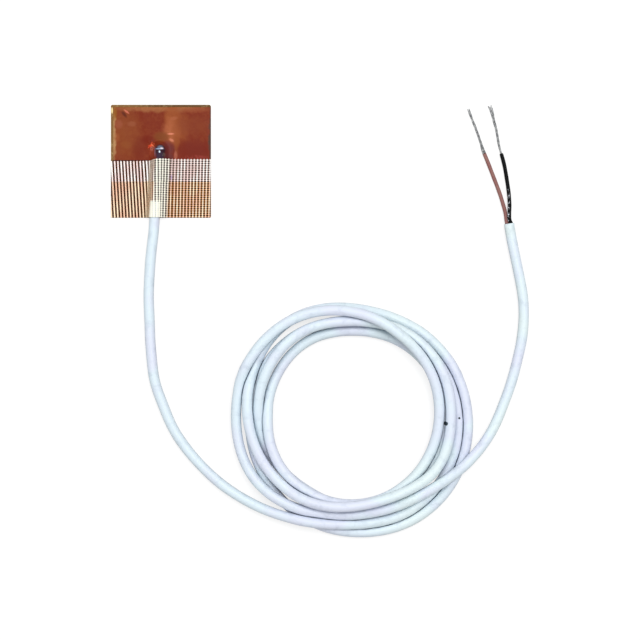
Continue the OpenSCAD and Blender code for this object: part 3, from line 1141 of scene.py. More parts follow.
@dataclass
class Studio:
    """A camera straight above the sensor, a pale floor and soft lamps.

    Attributes:
        centre, view_width: the place under the camera, and how much it sees across.
        lens, sensor: the camera's focal length and width of sensor.
        clip: nearest and farthest distance that it sees, in metres.
        floor_side, lamp_distance: the floor's width and the lamps' distance, in metres.
        floor_colour, floor_lift: what the floor sends back, and how much it shines by itself.
        ambient: strength of the room's light.
    """

    centre: Pair = (40.4, -40.3)
    view_width: float = 162.6
    lens: float = 100.0
    sensor: float = 36.0
    clip: Pair = (0.01, 20.0)
    floor_side: float = 4.0
    floor_colour: Colour = (0.3, 0.3, 0.3, 1.0)
    floor_lift: float = 0.75
    ambient: float = 0.6
    lamp_distance: float = 0.9
    lamps: tuple[Lamp, ...] = (
        Lamp("key_lamp", (12.0, 16.0), 0.4, 3.95),
        Lamp("fill_lamp", (-28.0, 30.0), 0.6, 1.25),
    )

    def camera(self) -> None:
        """Makes the camera, so high that its view is as wide as the photograph's."""
        data = bpy.data.cameras.new("camera")
        data.lens = self.lens
        data.sensor_width = self.sensor
        data.clip_start, data.clip_end = self.clip
        made = bpy.data.objects.new("camera", data)
        height = self.view_width * self.lens / self.sensor
        made.location = (self.centre[0] * MM, self.centre[1] * MM, height * MM)
        bpy.context.scene.collection.objects.link(made)
        bpy.context.scene.camera = made

    def floor(self) -> None:
        """Makes the floor: white to the camera and in reflections, and it keeps the shadows."""
        recipe = Recipe("floor")
        ground = recipe.node("ShaderNodeBsdfDiffuse", inputs={"Color": self.floor_colour})
        lift = {"Strength": recipe.seen() * self.floor_lift}
        light = recipe.node("ShaderNodeEmission", inputs=lift)
        both = recipe.node("ShaderNodeAddShader", inputs={0: ground, 1: light})
        half = self.floor_side / 2 / MM
        corners = np.array([[-half, -half, 0], [half, -half, 0], [half, half, 0], [-half, half, 0]])
        flat = Surface(corners, [np.array([[0, 1, 2, 3]])])
        flat.piece("floor", recipe.closed(both), smooth=False)

    def lights(self) -> None:
        """Makes the lamps and the even light of the room."""
        for lamp in self.lamps:
            data = bpy.data.lights.new(lamp.name, "AREA")
            data.shape = "SQUARE"
            data.size = lamp.side
            data.energy = lamp.power
            made = bpy.data.objects.new(lamp.name, data)
            lean = np.radians(lamp.lean)
            away = unit(np.array([math.tan(lean[0]), math.tan(lean[1]), 1.0]))
            made.location = np.array([*self.centre, 0.0]) * MM + away * self.lamp_distance
            made.rotation_euler = Vector(away).to_track_quat("Z", "Y").to_euler()
            bpy.context.scene.collection.objects.link(made)
        recipe = Recipe("room", world=True)
        strength = self.ambient + (1 - self.ambient) * recipe.seen()
        sky = recipe.node("ShaderNodeBackground", inputs={0: (1.0,) * 4, "Strength": strength})
        bpy.context.scene.world = recipe.closed(sky)
        bpy.context.scene.view_settings.view_transform = "Standard"


# The cable


@dataclass
class CableLine:
    """The line of the cable from the patch through five loose turns to its stripped end.

    Attributes:
        diameter: the cable's diameter.
        exit_height, descent: height of its centre at the patch, and length in which it sinks.
        coil_centre: the coil's centre.
        patch_tail, free_tail: the routes from the patch to the coil and on to the stripped end.
        first_angle, angle_step: angles of the turns' radii, from the first one on.
        lead_angles: angles of the single radii before and after the turns.
        radii: the turns' radii, one row for each turn, between those two single ones.
        levels: how many cables deep the line lies at each radius, before it settles.
        climb, drop: the same at the points of the tails next to the coil.
        step: distance between two points of the line.
        search: how far off along the line a route point is looked for.
        rounds: number of rounds in which the line settles.
        sink: how far it sinks in the first round by weight, and in every round besides.
        near, apart: in diameters, how near on the plan and how far apart along the cable two
            points are that may come to touch.
        side_share: how much of a push between two turns counts sideways.
        hold: share of the way back to its place in the plan that a point goes in one round.
        stiffness, smooth_every: reach of the bell that smooths the line, and rounds between.
    """

    diameter: float = 2.6
    exit_height: float = 1.53
    descent: float = 14.0
    coil_centre: Pair = (48.5, -65.7)
    patch_tail: Rows = (
        (-1.48, -14.257, 1.53), (-1.766, -18.247, 1.53), (-2.4, -23.6, 1.4), (-2.8, -29, 1.3),
        (-3, -34.5, 1.3), (-2.8, -40, 1.3), (-2.6, -45.5, 1.3), (-2.2, -50.5, 1.3),
        (-1.4, -56, 1.3), (0.5, -61.5, 1.3), (2.8, -67, 1.3), (6.2, -72.4, 1.3),
        (10.4, -77.3, 1.4), (15.2, -81.7, 1.5), (20.4, -85.2, 1.8), (26, -88, 2.3), (32, -90, 3),
    )
    free_tail: Rows = (
        (72.6, -80.3, 3.8), (77.3, -76.5, 3.6), (81.4, -72, 2.7), (84.6, -66.9, 2.1),
        (86.9, -61.5, 1.7), (88.8, -56.3, 1.4), (90.3, -50.8, 1.3), (91.5, -45.3, 1.3),
        (92, -39.8, 1.3), (91.8, -34.5, 1.3), (90.9, -29.3, 1.3), (89.8, -24, 1.3),
        (88.8, -19, 1.3), (88.3, -15.9, 1.3),
    )
    first_angle: float = -90.0
    angle_step: float = 30.0
    lead_angles: Pair = (-107.0, -45.0)
    radii: Rows = (
        (27.0,),
        (26.2, 27.2, 27.3, 27.2, 26.7, 26.2, 25.1, 25.7, 25.9, 25.8, 26.3, 27.3),
        (28.2, 29.3, 29.8, 29, 28.3, 27.3, 28.3, 29.7, 28.3, 26.2, 24.5, 23),
        (21.3, 21.6, 24.4, 24.9, 25.9, 25.9, 25.1, 25.7, 24.9, 23.6, 22, 21.1),
        (22.1, 22.9, 23.4, 23.6, 23.6, 23.4, 23, 23, 22.2, 21.6, 21.5, 21.2),
        (21.2, 21.2, 21.3, 21.9, 23.2, 24.8, 27.4, 29.6, 29.8, 29.3, 28.7, 25.9),
        (23.8, 24.4),
        (25.8,),
    )
    levels: Rows = (
        (1.6,),
        (1.6, 1.6, 0.8, 0, 0, 0, 0, 0, 0, 0, 0, 0),
        (0, 0, 0.4, 1, 1, 1, 1, 1, 1.2, 2, 3.2, 3.6),
        (3.6, 3.4, 2.6, 2, 2, 2, 1.6, 1.2, 1, 1, 1, 1),
        (1, 1, 1, 1, 1, 1, 1, 1, 1.2, 1.6, 2.2, 2.3),
        (2.4, 2.4, 2.4, 2.5, 2.8, 3, 3, 3, 3, 3, 3, 3),
        (3, 3),
        (3.0,),
    )
    climb: tuple[float, ...] = (1.0, 1.6, 1.6)
    drop: tuple[float, ...] = (3.0, 3.0, 3.0)
    step: float = 1.0
    search: float = 25.0
    rounds: int = 1500
    sink: Pair = (0.06, 0.002)
    near: float = 1.5
    apart: float = 3.0
    side_share: float = 0.5
    hold: float = 0.05
    stiffness: float = 4.0
    smooth_every: int = 4

    def path(self) -> Array:
        """The points of the cable's centre line: its plan, and then how it settles on itself."""
        return self._settled(*self._plan())

    def _plan(self) -> tuple[Array, Array]:
        """Lays the line out as seen from above: a spline through the tails and the turns' radii.

        Returns:
            The line's points in X and Y, and the level at each.
        """
        head, tail = (np.array(route)[:, :2] for route in (self.patch_tail, self.free_tail))
        radius = np.concatenate(self.radii)
        turns = self.first_angle + self.angle_step * np.arange(len(radius) - 2)
        angle = np.radians([self.lead_angles[0], *turns, self.lead_angles[1]])
        coil = np.stack([radius * np.cos(angle), radius * np.sin(angle)], axis=-1)
        points = np.concatenate([head, np.array(self.coil_centre) + coil, tail])
        before = np.zeros(len(head) - len(self.climb))
        after = np.zeros(len(tail) - len(self.drop))
        level = np.concatenate([before, self.climb, *self.levels, self.drop, after])
        plan = smooth_line(points, self.step)
        along = run_length(plan)
        rough = run_length(points)
        rough = rough / rough[-1] * along[-1]
        away = np.linalg.norm(plan[:, None] - points[None], axis=2)
        away[np.abs(along[:, None] - rough[None]) >= self.search] = np.inf
        return plan, np.interp(along, along[away.argmin(axis=0)], level)

    def _settled(self, plan: Array, level: Array) -> Array:
        """Lets the cable sink under its weight until its turns lie on each other and on the floor.

        In each round every point drops a little, points of two turns that are less than one
        diameter apart push each other away along the line between them, the plan pulls them back
        to their places, and the line is smoothed by a bell-shaped average, as a stiff cable is.

        Args:
            plan: the line's points in X and Y.
            level: the level at each point.

        Returns:
            The settled points.
        """
        count = len(plan)
        along = run_length(plan)
        apart = np.abs(along[:, None] - along[None])
        floor = self.diameter / 2
        ground = floor + (self.exit_height - floor) * ease(along, self.descent, 0)
        points = np.column_stack([plan, ground + level * self.diameter])
        beside = np.linalg.norm(plan[:, None] - plan[None], axis=2) < self.near * self.diameter
        first, second = np.nonzero(np.triu(beside & (apart > self.apart * self.diameter)))
        bell = np.exp(-0.5 * (apart / self.stiffness) ** 2)
        bell /= bell.sum(axis=1, keepdims=True)
        target = np.column_stack([plan, np.zeros(count)])
        for k in range(self.rounds):
            points[:, 2] -= self.sink[0] * (1 - k / self.rounds) + self.sink[1]
            offset = points[first] - points[second]
            distance = np.linalg.norm(offset, axis=1)
            hit = distance < self.diameter
            push = unit(offset[hit]) * (self.diameter - distance[hit])[:, None] / 2
            push[:, :2] *= self.side_share
            moved = np.zeros((count, 3))
            np.add.at(moved, first[hit], push)
            np.add.at(moved, second[hit], -push)
            touches = np.bincount(np.concatenate([first[hit], second[hit]]), minlength=count)
            points += moved / np.maximum(touches, 1)[:, None]
            points[:, :2] += (plan - points[:, :2]) * self.hold
            if k % self.smooth_every == 0:
                points += (bell @ (points - target) + target - points) / 2
            points[:, 2] = np.maximum(points[:, 2], ground)
        return points


@dataclass
class Cable:
    """The cable's jacket, from the patch to its cut end.

    Attributes:
        line: the cable's line.
        sides, ring_step: corners of a ring, and distance between two rings.
        bore, bore_depth: diameter and depth of the bore that shows at the cut.
        edge_round: how far the edge of the cut is broken.
        core_lay: length in which the two cores turn once round each other.
        core_mark, uneven: shares by which they and chance change the radius.
        waves: lengths over which chance changes it.
        held: length at the patch in which the jacket becomes uneven.
        crevice_reach: gap to the next turn at which a crevice starts to darken.
        own: length in diameters within which the cable makes no crevice with itself.
        block: number of points for which crevices are worked out at a time.
    """

    line: CableLine = field(default_factory=CableLine)
    sides: int = 28
    ring_step: float = 0.8
    bore: float = 2.08
    bore_depth: float = 2.0
    edge_round: float = 0.06
    core_lay: float = 24.0
    core_mark: float = 0.008
    uneven: float = 0.006
    waves: Pair = (5.3, 11.7)
    held: float = 6.0
    crevice_reach: float = 0.55
    own: float = 4.0
    block: int = 2048

    def build(self, coat: Material) -> tuple[Piece, Array]:
        """Builds the jacket: rings along the line, and at the cut a broken edge and the bore.

        The radius at angle a and length s is radius (1 + core_mark cos(2a - 4 pi s / core_lay)
        + uneven sin(s / wave + sin(s / second wave))).

        Args:
            coat: the jacket's material.

        Returns:
            The jacket, and the line that it follows.
        """
        centre = self.line.path()
        path = smooth_line(centre, self.ring_step)
        along = run_length(path)[:, None]
        across, over = directions(path, UP)
        turn = 2 * math.pi * np.arange(self.sides) / self.sides
        radius = self.line.diameter / 2
        wave = self.core_mark * np.cos(2 * turn[None] - 4 * math.pi * along / self.core_lay)
        wave += self.uneven * np.sin(along / self.waves[0] + np.sin(along / self.waves[1]))
        radii = radius * (1 + wave * ease(along, 0, self.held))
        body = rings(path, across, over, radii[..., None] * circle(self.sides)[None])
        end = path[-1:], across[-1:], over[-1:]
        heading = np.cross(end[2], end[1])
        rim = (
            (radius, self.edge_round), (radius - self.edge_round, 0.0),
            (self.bore / 2, 0.0), (self.bore / 2, self.bore_depth),
        )
        mouth = [rings(*end, circle(self.sides) * r) - heading * depth for r, depth in rim]
        skin = loft(np.concatenate([body[:-1], *mouth]))
        skin.marks["crevice"] = self._crevices(skin.points, centre)
        return skin.piece("cable_jacket_skin", coat), centre

    def _crevices(self, points: Array, centre: Array) -> Array:
        """How deep each point lies in a crevice: 1 against another turn, 0 from crevice_reach on.

        Args:
            points: the skin's points.
            centre: the cable's line.

        Returns:
            One number for each point.
        """
        along = run_length(centre)
        depths = []
        for start in range(0, len(points), self.block):
            block = points[start:start + self.block]
            distance = np.linalg.norm(block[:, None] - centre[None], axis=2)
            here = along[distance.argmin(axis=1)]
            other = np.abs(along[None] - here[:, None]) > self.own * self.line.diameter
            nearest = np.where(other, distance, np.inf).min(axis=1)
            depths.append(ease(nearest - self.line.diameter / 2, self.crevice_reach, 0.0))
        return np.concatenate(depths)


# The stripped ends


class Side(Enum):
    """The two cores, by the colour of their insulation."""

    RED = "red"
    BLACK = "black"


@dataclass
class StrippedEnd:
    """One core that leaves the jacket, with its bared strands.

    Attributes:
        side: which core it is.
        core_route, wire_route: routes of the insulation and of the bare strands.
        splay: how far the strands' tips stand apart.
        flare: how much wider, or narrower, the bundle is where it leaves the insulation.
        core_d, core_sides, core_step: the insulation's diameter, corners and distance of rings.
        bulge, held: by what share and how fast its radius varies, and the length in which it
            starts to.
        cut: radius at the cut, as a share.
        strands, lay: number of strands, and length in which one turns once round the wire.
        strand_d, strand_sides, strand_step: a strand's diameter, corners and distance of rings.
        splay_start: share of the wire's length at which the tips start to stand apart.
        flare_reach: lengths up to which the flare is full, and at which it has gone.
        prong_step: how much less each strand splays than the one before it.
        flatten: how much the bundle is flattened sideways and in height towards its tips.
    """

    side: Side
    core_route: Rows
    wire_route: Rows
    splay: float
    flare: float
    core_d: float = 1.0
    core_sides: int = 20
    core_step: float = 0.3
    bulge: Pair = (0.02, 1.7)
    held: float = 3.0
    cut: float = 0.93
    strand_d: float = 0.21
    strand_sides: int = 8
    strand_step: float = 0.2
    strands: int = 7
    lay: float = 9.0
    splay_start: float = 0.35
    flare_reach: Pair = (0.4, 3.2)
    prong_step: float = 0.12
    flatten: Pair = (0.4, 0.5)

    def insulation(self, coat: Material) -> Piece:
        """Builds the insulation: a tube of radius core_d / 2 (1 + a sin(b s)) with a cut end.

        Args:
            coat: its material.

        Returns:
            The insulation.
        """
        path = smooth_line(np.array(self.core_route), self.core_step)
        along = run_length(path)
        height, rate = self.bulge
        radius = self.core_d / 2 * (1 + height * np.sin(along * rate) * ease(along, 0, self.held))
        radius[-1] *= self.cut
        section = radius[:, None, None] * circle(self.core_sides)[None]
        skin = loft(rings(path, *directions(path, UP), section))
        return skin.piece(f"{self.side.value}_core_skin", coat)

    def conductor(self, coat: Material) -> Piece:
        """Builds the strands: six laid round a seventh, which splay towards their tips.

        Strand k lies at angle 2 pi (k / 6 + along / lay) round the wire, one strand's diameter
        out, its distance grows with the square of the way past the middle, and it ends
        (3 k) mod 5 steps short, as hand-cut strands do.

        Args:
            coat: their material.

        Returns:
            The strands as one piece.
        """
        path = smooth_line(np.array(self.wire_route), self.strand_step)
        across, over = directions(path, UP)
        along = run_length(path)
        way = ease(along, self.splay_start * along[-1], along[-1]) ** 2
        out = self.strand_d + self.flare * ease(along, *self.flare_reach[::-1])
        outer = self.strands - 1
        bundle = []
        for k in range(self.strands):
            turn = 2 * math.pi * (k / outer + along / self.lay)
            radius = out * (k < outer)
            prong = (1 if k % 2 else -1) * (1 - self.prong_step * k)
            sideways = radius * np.cos(turn) * (1 - self.flatten[0] * way)
            sideways = sideways + way * self.splay * prong
            upwards = radius * np.sin(turn) * (1 - self.flatten[1] * way)
            strand = path + across * sideways[:, None] + over * upwards[:, None]
            strand[:, 2] = np.maximum(strand[:, 2], self.strand_d / 2)
            strand = strand[: len(strand) - (3 * k) % 5]
            section = circle(self.strand_sides) * self.strand_d / 2
            bundle.append(loft(rings(strand, *directions(strand, UP), section)))
        return Surface.joined(bundle).piece(f"{self.side.value}_strands", coat)


STRIPPED_ENDS = (
    StrippedEnd(
        side=Side.RED,
        core_route=(
            (87.785, -15.983, 1.3), (87.659, -15.193, 1.1), (87.5, -13.8, 1.0), (86.9, -11.2, 0.8),
            (86.1, -8.5, 0.6), (85.2, -6, 0.5), (84.2, -3.4, 0.5), (83.2, -0.8, 0.5),
            (82.1, 1.9, 0.5),
        ),
        wire_route=(
            (82.1, 1.9, 0.5), (81.7, 3, 0.4), (81.4, 4.1, 0.32), (81, 5.3, 0.31),
            (80.6, 6.5, 0.31), (80.2, 7.6, 0.31), (79.8, 8.7, 0.31), (79.3, 9.9, 0.31),
            (78.9, 11, 0.31), (78.5, 12.1, 0.31), (78.1, 13.3, 0.31),
        ),
        splay=0.18,
        flare=0.16,
    ),
    StrippedEnd(
        side=Side.BLACK,
        core_route=(
            (88.815, -15.817, 1.3), (88.4, -15.027, 1.7), (88.3, -13.8, 1.8), (88.4, -11.2, 1.4),
            (88.3, -8.5, 0.9), (88, -5.9, 0.6), (87.6, -3.3, 0.5), (87.1, -0.7, 0.5),
            (86.4, 1.9, 0.5),
        ),
        wire_route=(
            (86.4, 1.9, 0.5), (86.1, 3, 0.4), (85.8, 4.2, 0.32), (85.6, 5.4, 0.31),
            (85.4, 6.6, 0.31), (85.2, 7.8, 0.31), (84.9, 9, 0.31), (84.6, 10, 0.31),
            (84.4, 11, 0.31), (84.2, 12.1, 0.31), (83.9, 13.2, 0.31), (83.6, 14.2, 0.31),
        ),
        splay=0.45,
        flare=-0.06,
    ),
)


# The patch


@dataclass
class Drape:
    """Outline that films and cloth take over the cable: an arch, straight flanks and soft feet.

    Attributes:
        half_w: half the width of the ridge at its foot, on the left and on the right.
        arch_r: radius of the arch over the cable, and height of its centre over the base film.
        foot_r: radius of the bend at the foot.
        base_top: height of the base film's top.
        reach: length of the outline on each side.
        samples: number of points of the outline from the top to the foot.
    """

    half_w: Pair = (2.2, 2.2)
    arch_r: float = 1.32
    foot_r: float = 0.8
    base_top: float = 0.21
    reach: float = 40.0
    samples: int = 400

    def __post_init__(self) -> None:
        """Works out both halves of the outline, and the ridge's lean in radians."""
        self._halves = [self._half(width) for width in self.half_w]
        self._lean = math.radians(PATCH.lean)

    def _half(self, width: float) -> dict[str, Array]:
        """One half of the outline, summed up from its angle at each length from the top.

        The angle grows evenly over the arch to the flank's slope, stays there along the flank and
        falls evenly back to 0 in the foot.

        Args:
            width: the half's width at the foot.

        Returns:
            Lengths from the top, with the angle, x and z at each, and the flat part's gain: how
            much longer the outline is than its width.
        """
        rise = math.asin(self.arch_r / math.hypot(width, self.arch_r))
        slope = math.atan2(self.arch_r, width) + rise
        arch_end = self.arch_r * slope
        foot_start = arch_end + width - self.foot_r * math.tan(slope / 2)
        foot_end = foot_start + self.foot_r * slope
        ends = [0, arch_end, foot_start, foot_end, self.reach]
        length = np.unique(np.concatenate([np.linspace(0, foot_end, self.samples), ends]))
        angle = np.interp(length, ends, [0, slope, slope, 0, 0])
        middle = (angle[1:] + angle[:-1]) / 2
        steps = np.diff(length)
        x = np.concatenate([[0], np.cumsum(np.cos(middle) * steps)])
        z = 2 * self.arch_r - np.concatenate([[0], np.cumsum(np.sin(middle) * steps)])
        return {"length": length, "angle": angle, "x": x, "z": z, "gain": length[-1] - x[-1]}

    def ridge_x(self, y: Array) -> Array:
        """Sideways place of the ridge's top at a place along Y."""
        return PATCH.bead[0] - (PATCH.bead[1] - y) * PATCH.slope

    def edge_length(self, x: float, y: Array) -> Array:
        """Length along the drape from the ridge's top to a place x on the flat patch."""
        flat = np.abs(x - self.ridge_x(y)) * math.cos(self._lean)
        return math.copysign(1, x) * (flat + self._halves[int(x > 0)]["gain"])

    def at(self, length: Array, y: Array, lift: Array) -> tuple[Array, Array]:
        """Points of the drape, lifted off it along its own normal.

        Args:
            length: length along the drape from the ridge's top, negative to the left.
            y: place along Y.
            lift: how far off the drape the point lies.

        Returns:
            The points and the drape's normals there.
        """
        side, away = np.sign(length), np.abs(length)
        angle, x, z = (
            np.where(side < 0, *(np.interp(away, h["length"], h[key]) for h in self._halves))
            for key in ("angle", "x", "z")
        )
        out_x, out_z = np.sin(angle) * side, np.cos(angle)
        across = self.ridge_x(y) + (side * x + lift * out_x) / math.cos(self._lean)
        points = np.broadcast_arrays(across, y, self.base_top + z + lift * out_z)
        normals = np.broadcast_arrays(out_x, 0 * y, out_z)
        return np.stack(points, axis=-1), np.stack(normals, axis=-1)

    def height(self, x: Array, y: Array, lift: float) -> Array:
        """Height of a film over the ridge, and round the bead, about which the left half turns.

        Args:
            x, y: places on the patch.
            lift: how far the film lies off the drape.

        Returns:
            The film's heights.
        """
        dx, dy = x - PATCH.bead[0], y - PATCH.bead[1]
        across = dx * math.cos(self._lean) - dy * math.sin(self._lean)
        beyond = np.maximum(dx * math.sin(self._lean) + dy * math.cos(self._lean), 0)
        half = self._halves[0]
        out = half["x"] + lift * np.sin(half["angle"])
        up = half["z"] + lift * np.cos(half["angle"])
        return self.base_top + np.interp(np.hypot(across, beyond), out, up)


@dataclass
class CoverFilm:
    """The upper amber film, tented over the bead and wrinkled beside it.

    Attributes:
        drape: what it follows.
        low, high: its corners at the cable and at the far end.
        corner_r, worn_corner_r: radii of its far corners, on the left and on the right.
        lift, thickness: how far it lies off the drape, and its thickness.
        step: distance between two points of its grid.
        swell_h: heights of the long and of the short swells.
        star_at, star_r, star_h: place, radius and height of the crumpled star.
        star_arms, star_twist: number of its arms, and how far they twist on the way out.
        tent_at, tent_w, tent_h: middle, width and height of the tent line along Y.
        tent_reach: distances from its middle at which it starts to fall and at which it ends.
        folds, fold_h: x, y, half length, half width and tilt of each fold, and their height.
        rim: how far from the film's edges the wrinkles start to fade.
    """

    drape: Drape
    low: Pair = (-12.1, PATCH.film_end)
    high: Pair = (12.7, 13.75)
    corner_r: float = 0.4
    worn_corner_r: float = 0.5
    lift: float = 0.02
    thickness: float = 0.08
    step: float = 0.14
    swell_h: Pair = (0.012, 0.01)
    star_at: Pair = (-2.55, 4.35)
    star_r: float = 0.9
    star_h: float = 0.07
    star_arms: int = 7
    star_twist: float = 3.0
    tent_at: Pair = (3.5, 1.9)
    tent_w: float = 0.16
    tent_h: float = 0.06
    tent_reach: Pair = (0.4, 1.6)
    folds: Rows = ((2.75, 6.89, 0.9, 0.22, 0.2), (2.9, 5.3, 0.7, 0.2, 0.0))
    fold_h: float = 0.05
    rim: float = 1.0

    def build(self, coat: Material) -> Piece:
        """Builds the film: a grid over the patch, raised by the drape and its wrinkles.

        Args:
            coat: the film's material.

        Returns:
            The film.
        """
        spans = (high - low for low, high in zip(self.low, self.high))
        columns, rows = (int(span / self.step) + 1 for span in spans)
        y = np.linspace(self.low[1], self.high[1], rows)[:, None]
        left = self.low[0] + self._inset(y, self.corner_r)
        right = self.high[0] - self._inset(y, self.worn_corner_r)
        x = left + (right - left) * np.linspace(0, 1, columns)[None]
        y = np.broadcast_to(y, x.shape)
        relief = self._relief(x, y)
        top, bottom = (
            np.stack([x, y, self.drape.height(x, y, lift) + relief], axis=-1)
            for lift in (self.lift + self.thickness, self.lift)
        )
        return slab(top, bottom).piece("cover_film_skin", coat)

    def _inset(self, y: Array, radius: float) -> Array:
        """How far a rounded far corner lies inside the straight side at each y."""
        past = np.clip(y - (self.high[1] - radius), 0, radius)
        return radius - np.sqrt(radius**2 - past**2)

    def _relief(self, x: Array, y: Array) -> Array:
        """Wrinkles: swells, a star left of the bead, and a tent line and folds right of it.

        The swells are sums and products of sines. The star is a cosine of the angle about its
        centre, times a bell of the distance. The tent line and the folds are bells.

        Args:
            x, y: places on the film.

        Returns:
            The height that the wrinkles add.
        """
        waves = np.sin(0.9 * x + 0.5 * y) + np.sin(1.3 * y - 0.4 * x + 1.0) + 2
        ripples = 1 + np.sin(2.1 * x - 1.2 * y) * np.sin(1.7 * y + 0.6)
        swell = self.swell_h[0] * waves + self.swell_h[1] * ripples
        star_x, star_y = x - self.star_at[0], y - self.star_at[1]
        angle, away = np.arctan2(star_y, star_x), np.hypot(star_x, star_y)
        arms = 1 + np.cos(self.star_arms * angle + self.star_twist * away)
        star = self.star_h * np.exp(-((away / self.star_r) ** 2)) * arms
        tent = self.tent_h * np.exp(-(((x - self.tent_at[0]) / self.tent_w) ** 2))
        tent = tent * ease(np.abs(y - self.tent_at[1]), *self.tent_reach[::-1])
        folds = sum(
            np.exp(-(((y - fy - tilt * (x - fx)) / half_w) ** 2 + ((x - fx) / half_l) ** 2))
            for fx, fy, half_l, half_w, tilt in self.folds
        )
        edges = (self.high[0] - x, x - self.low[0], self.high[1] - y)
        fade = math.prod(ease(edge, 0, self.rim) for edge in edges)
        return (swell + star + tent + self.fold_h * folds) * fade


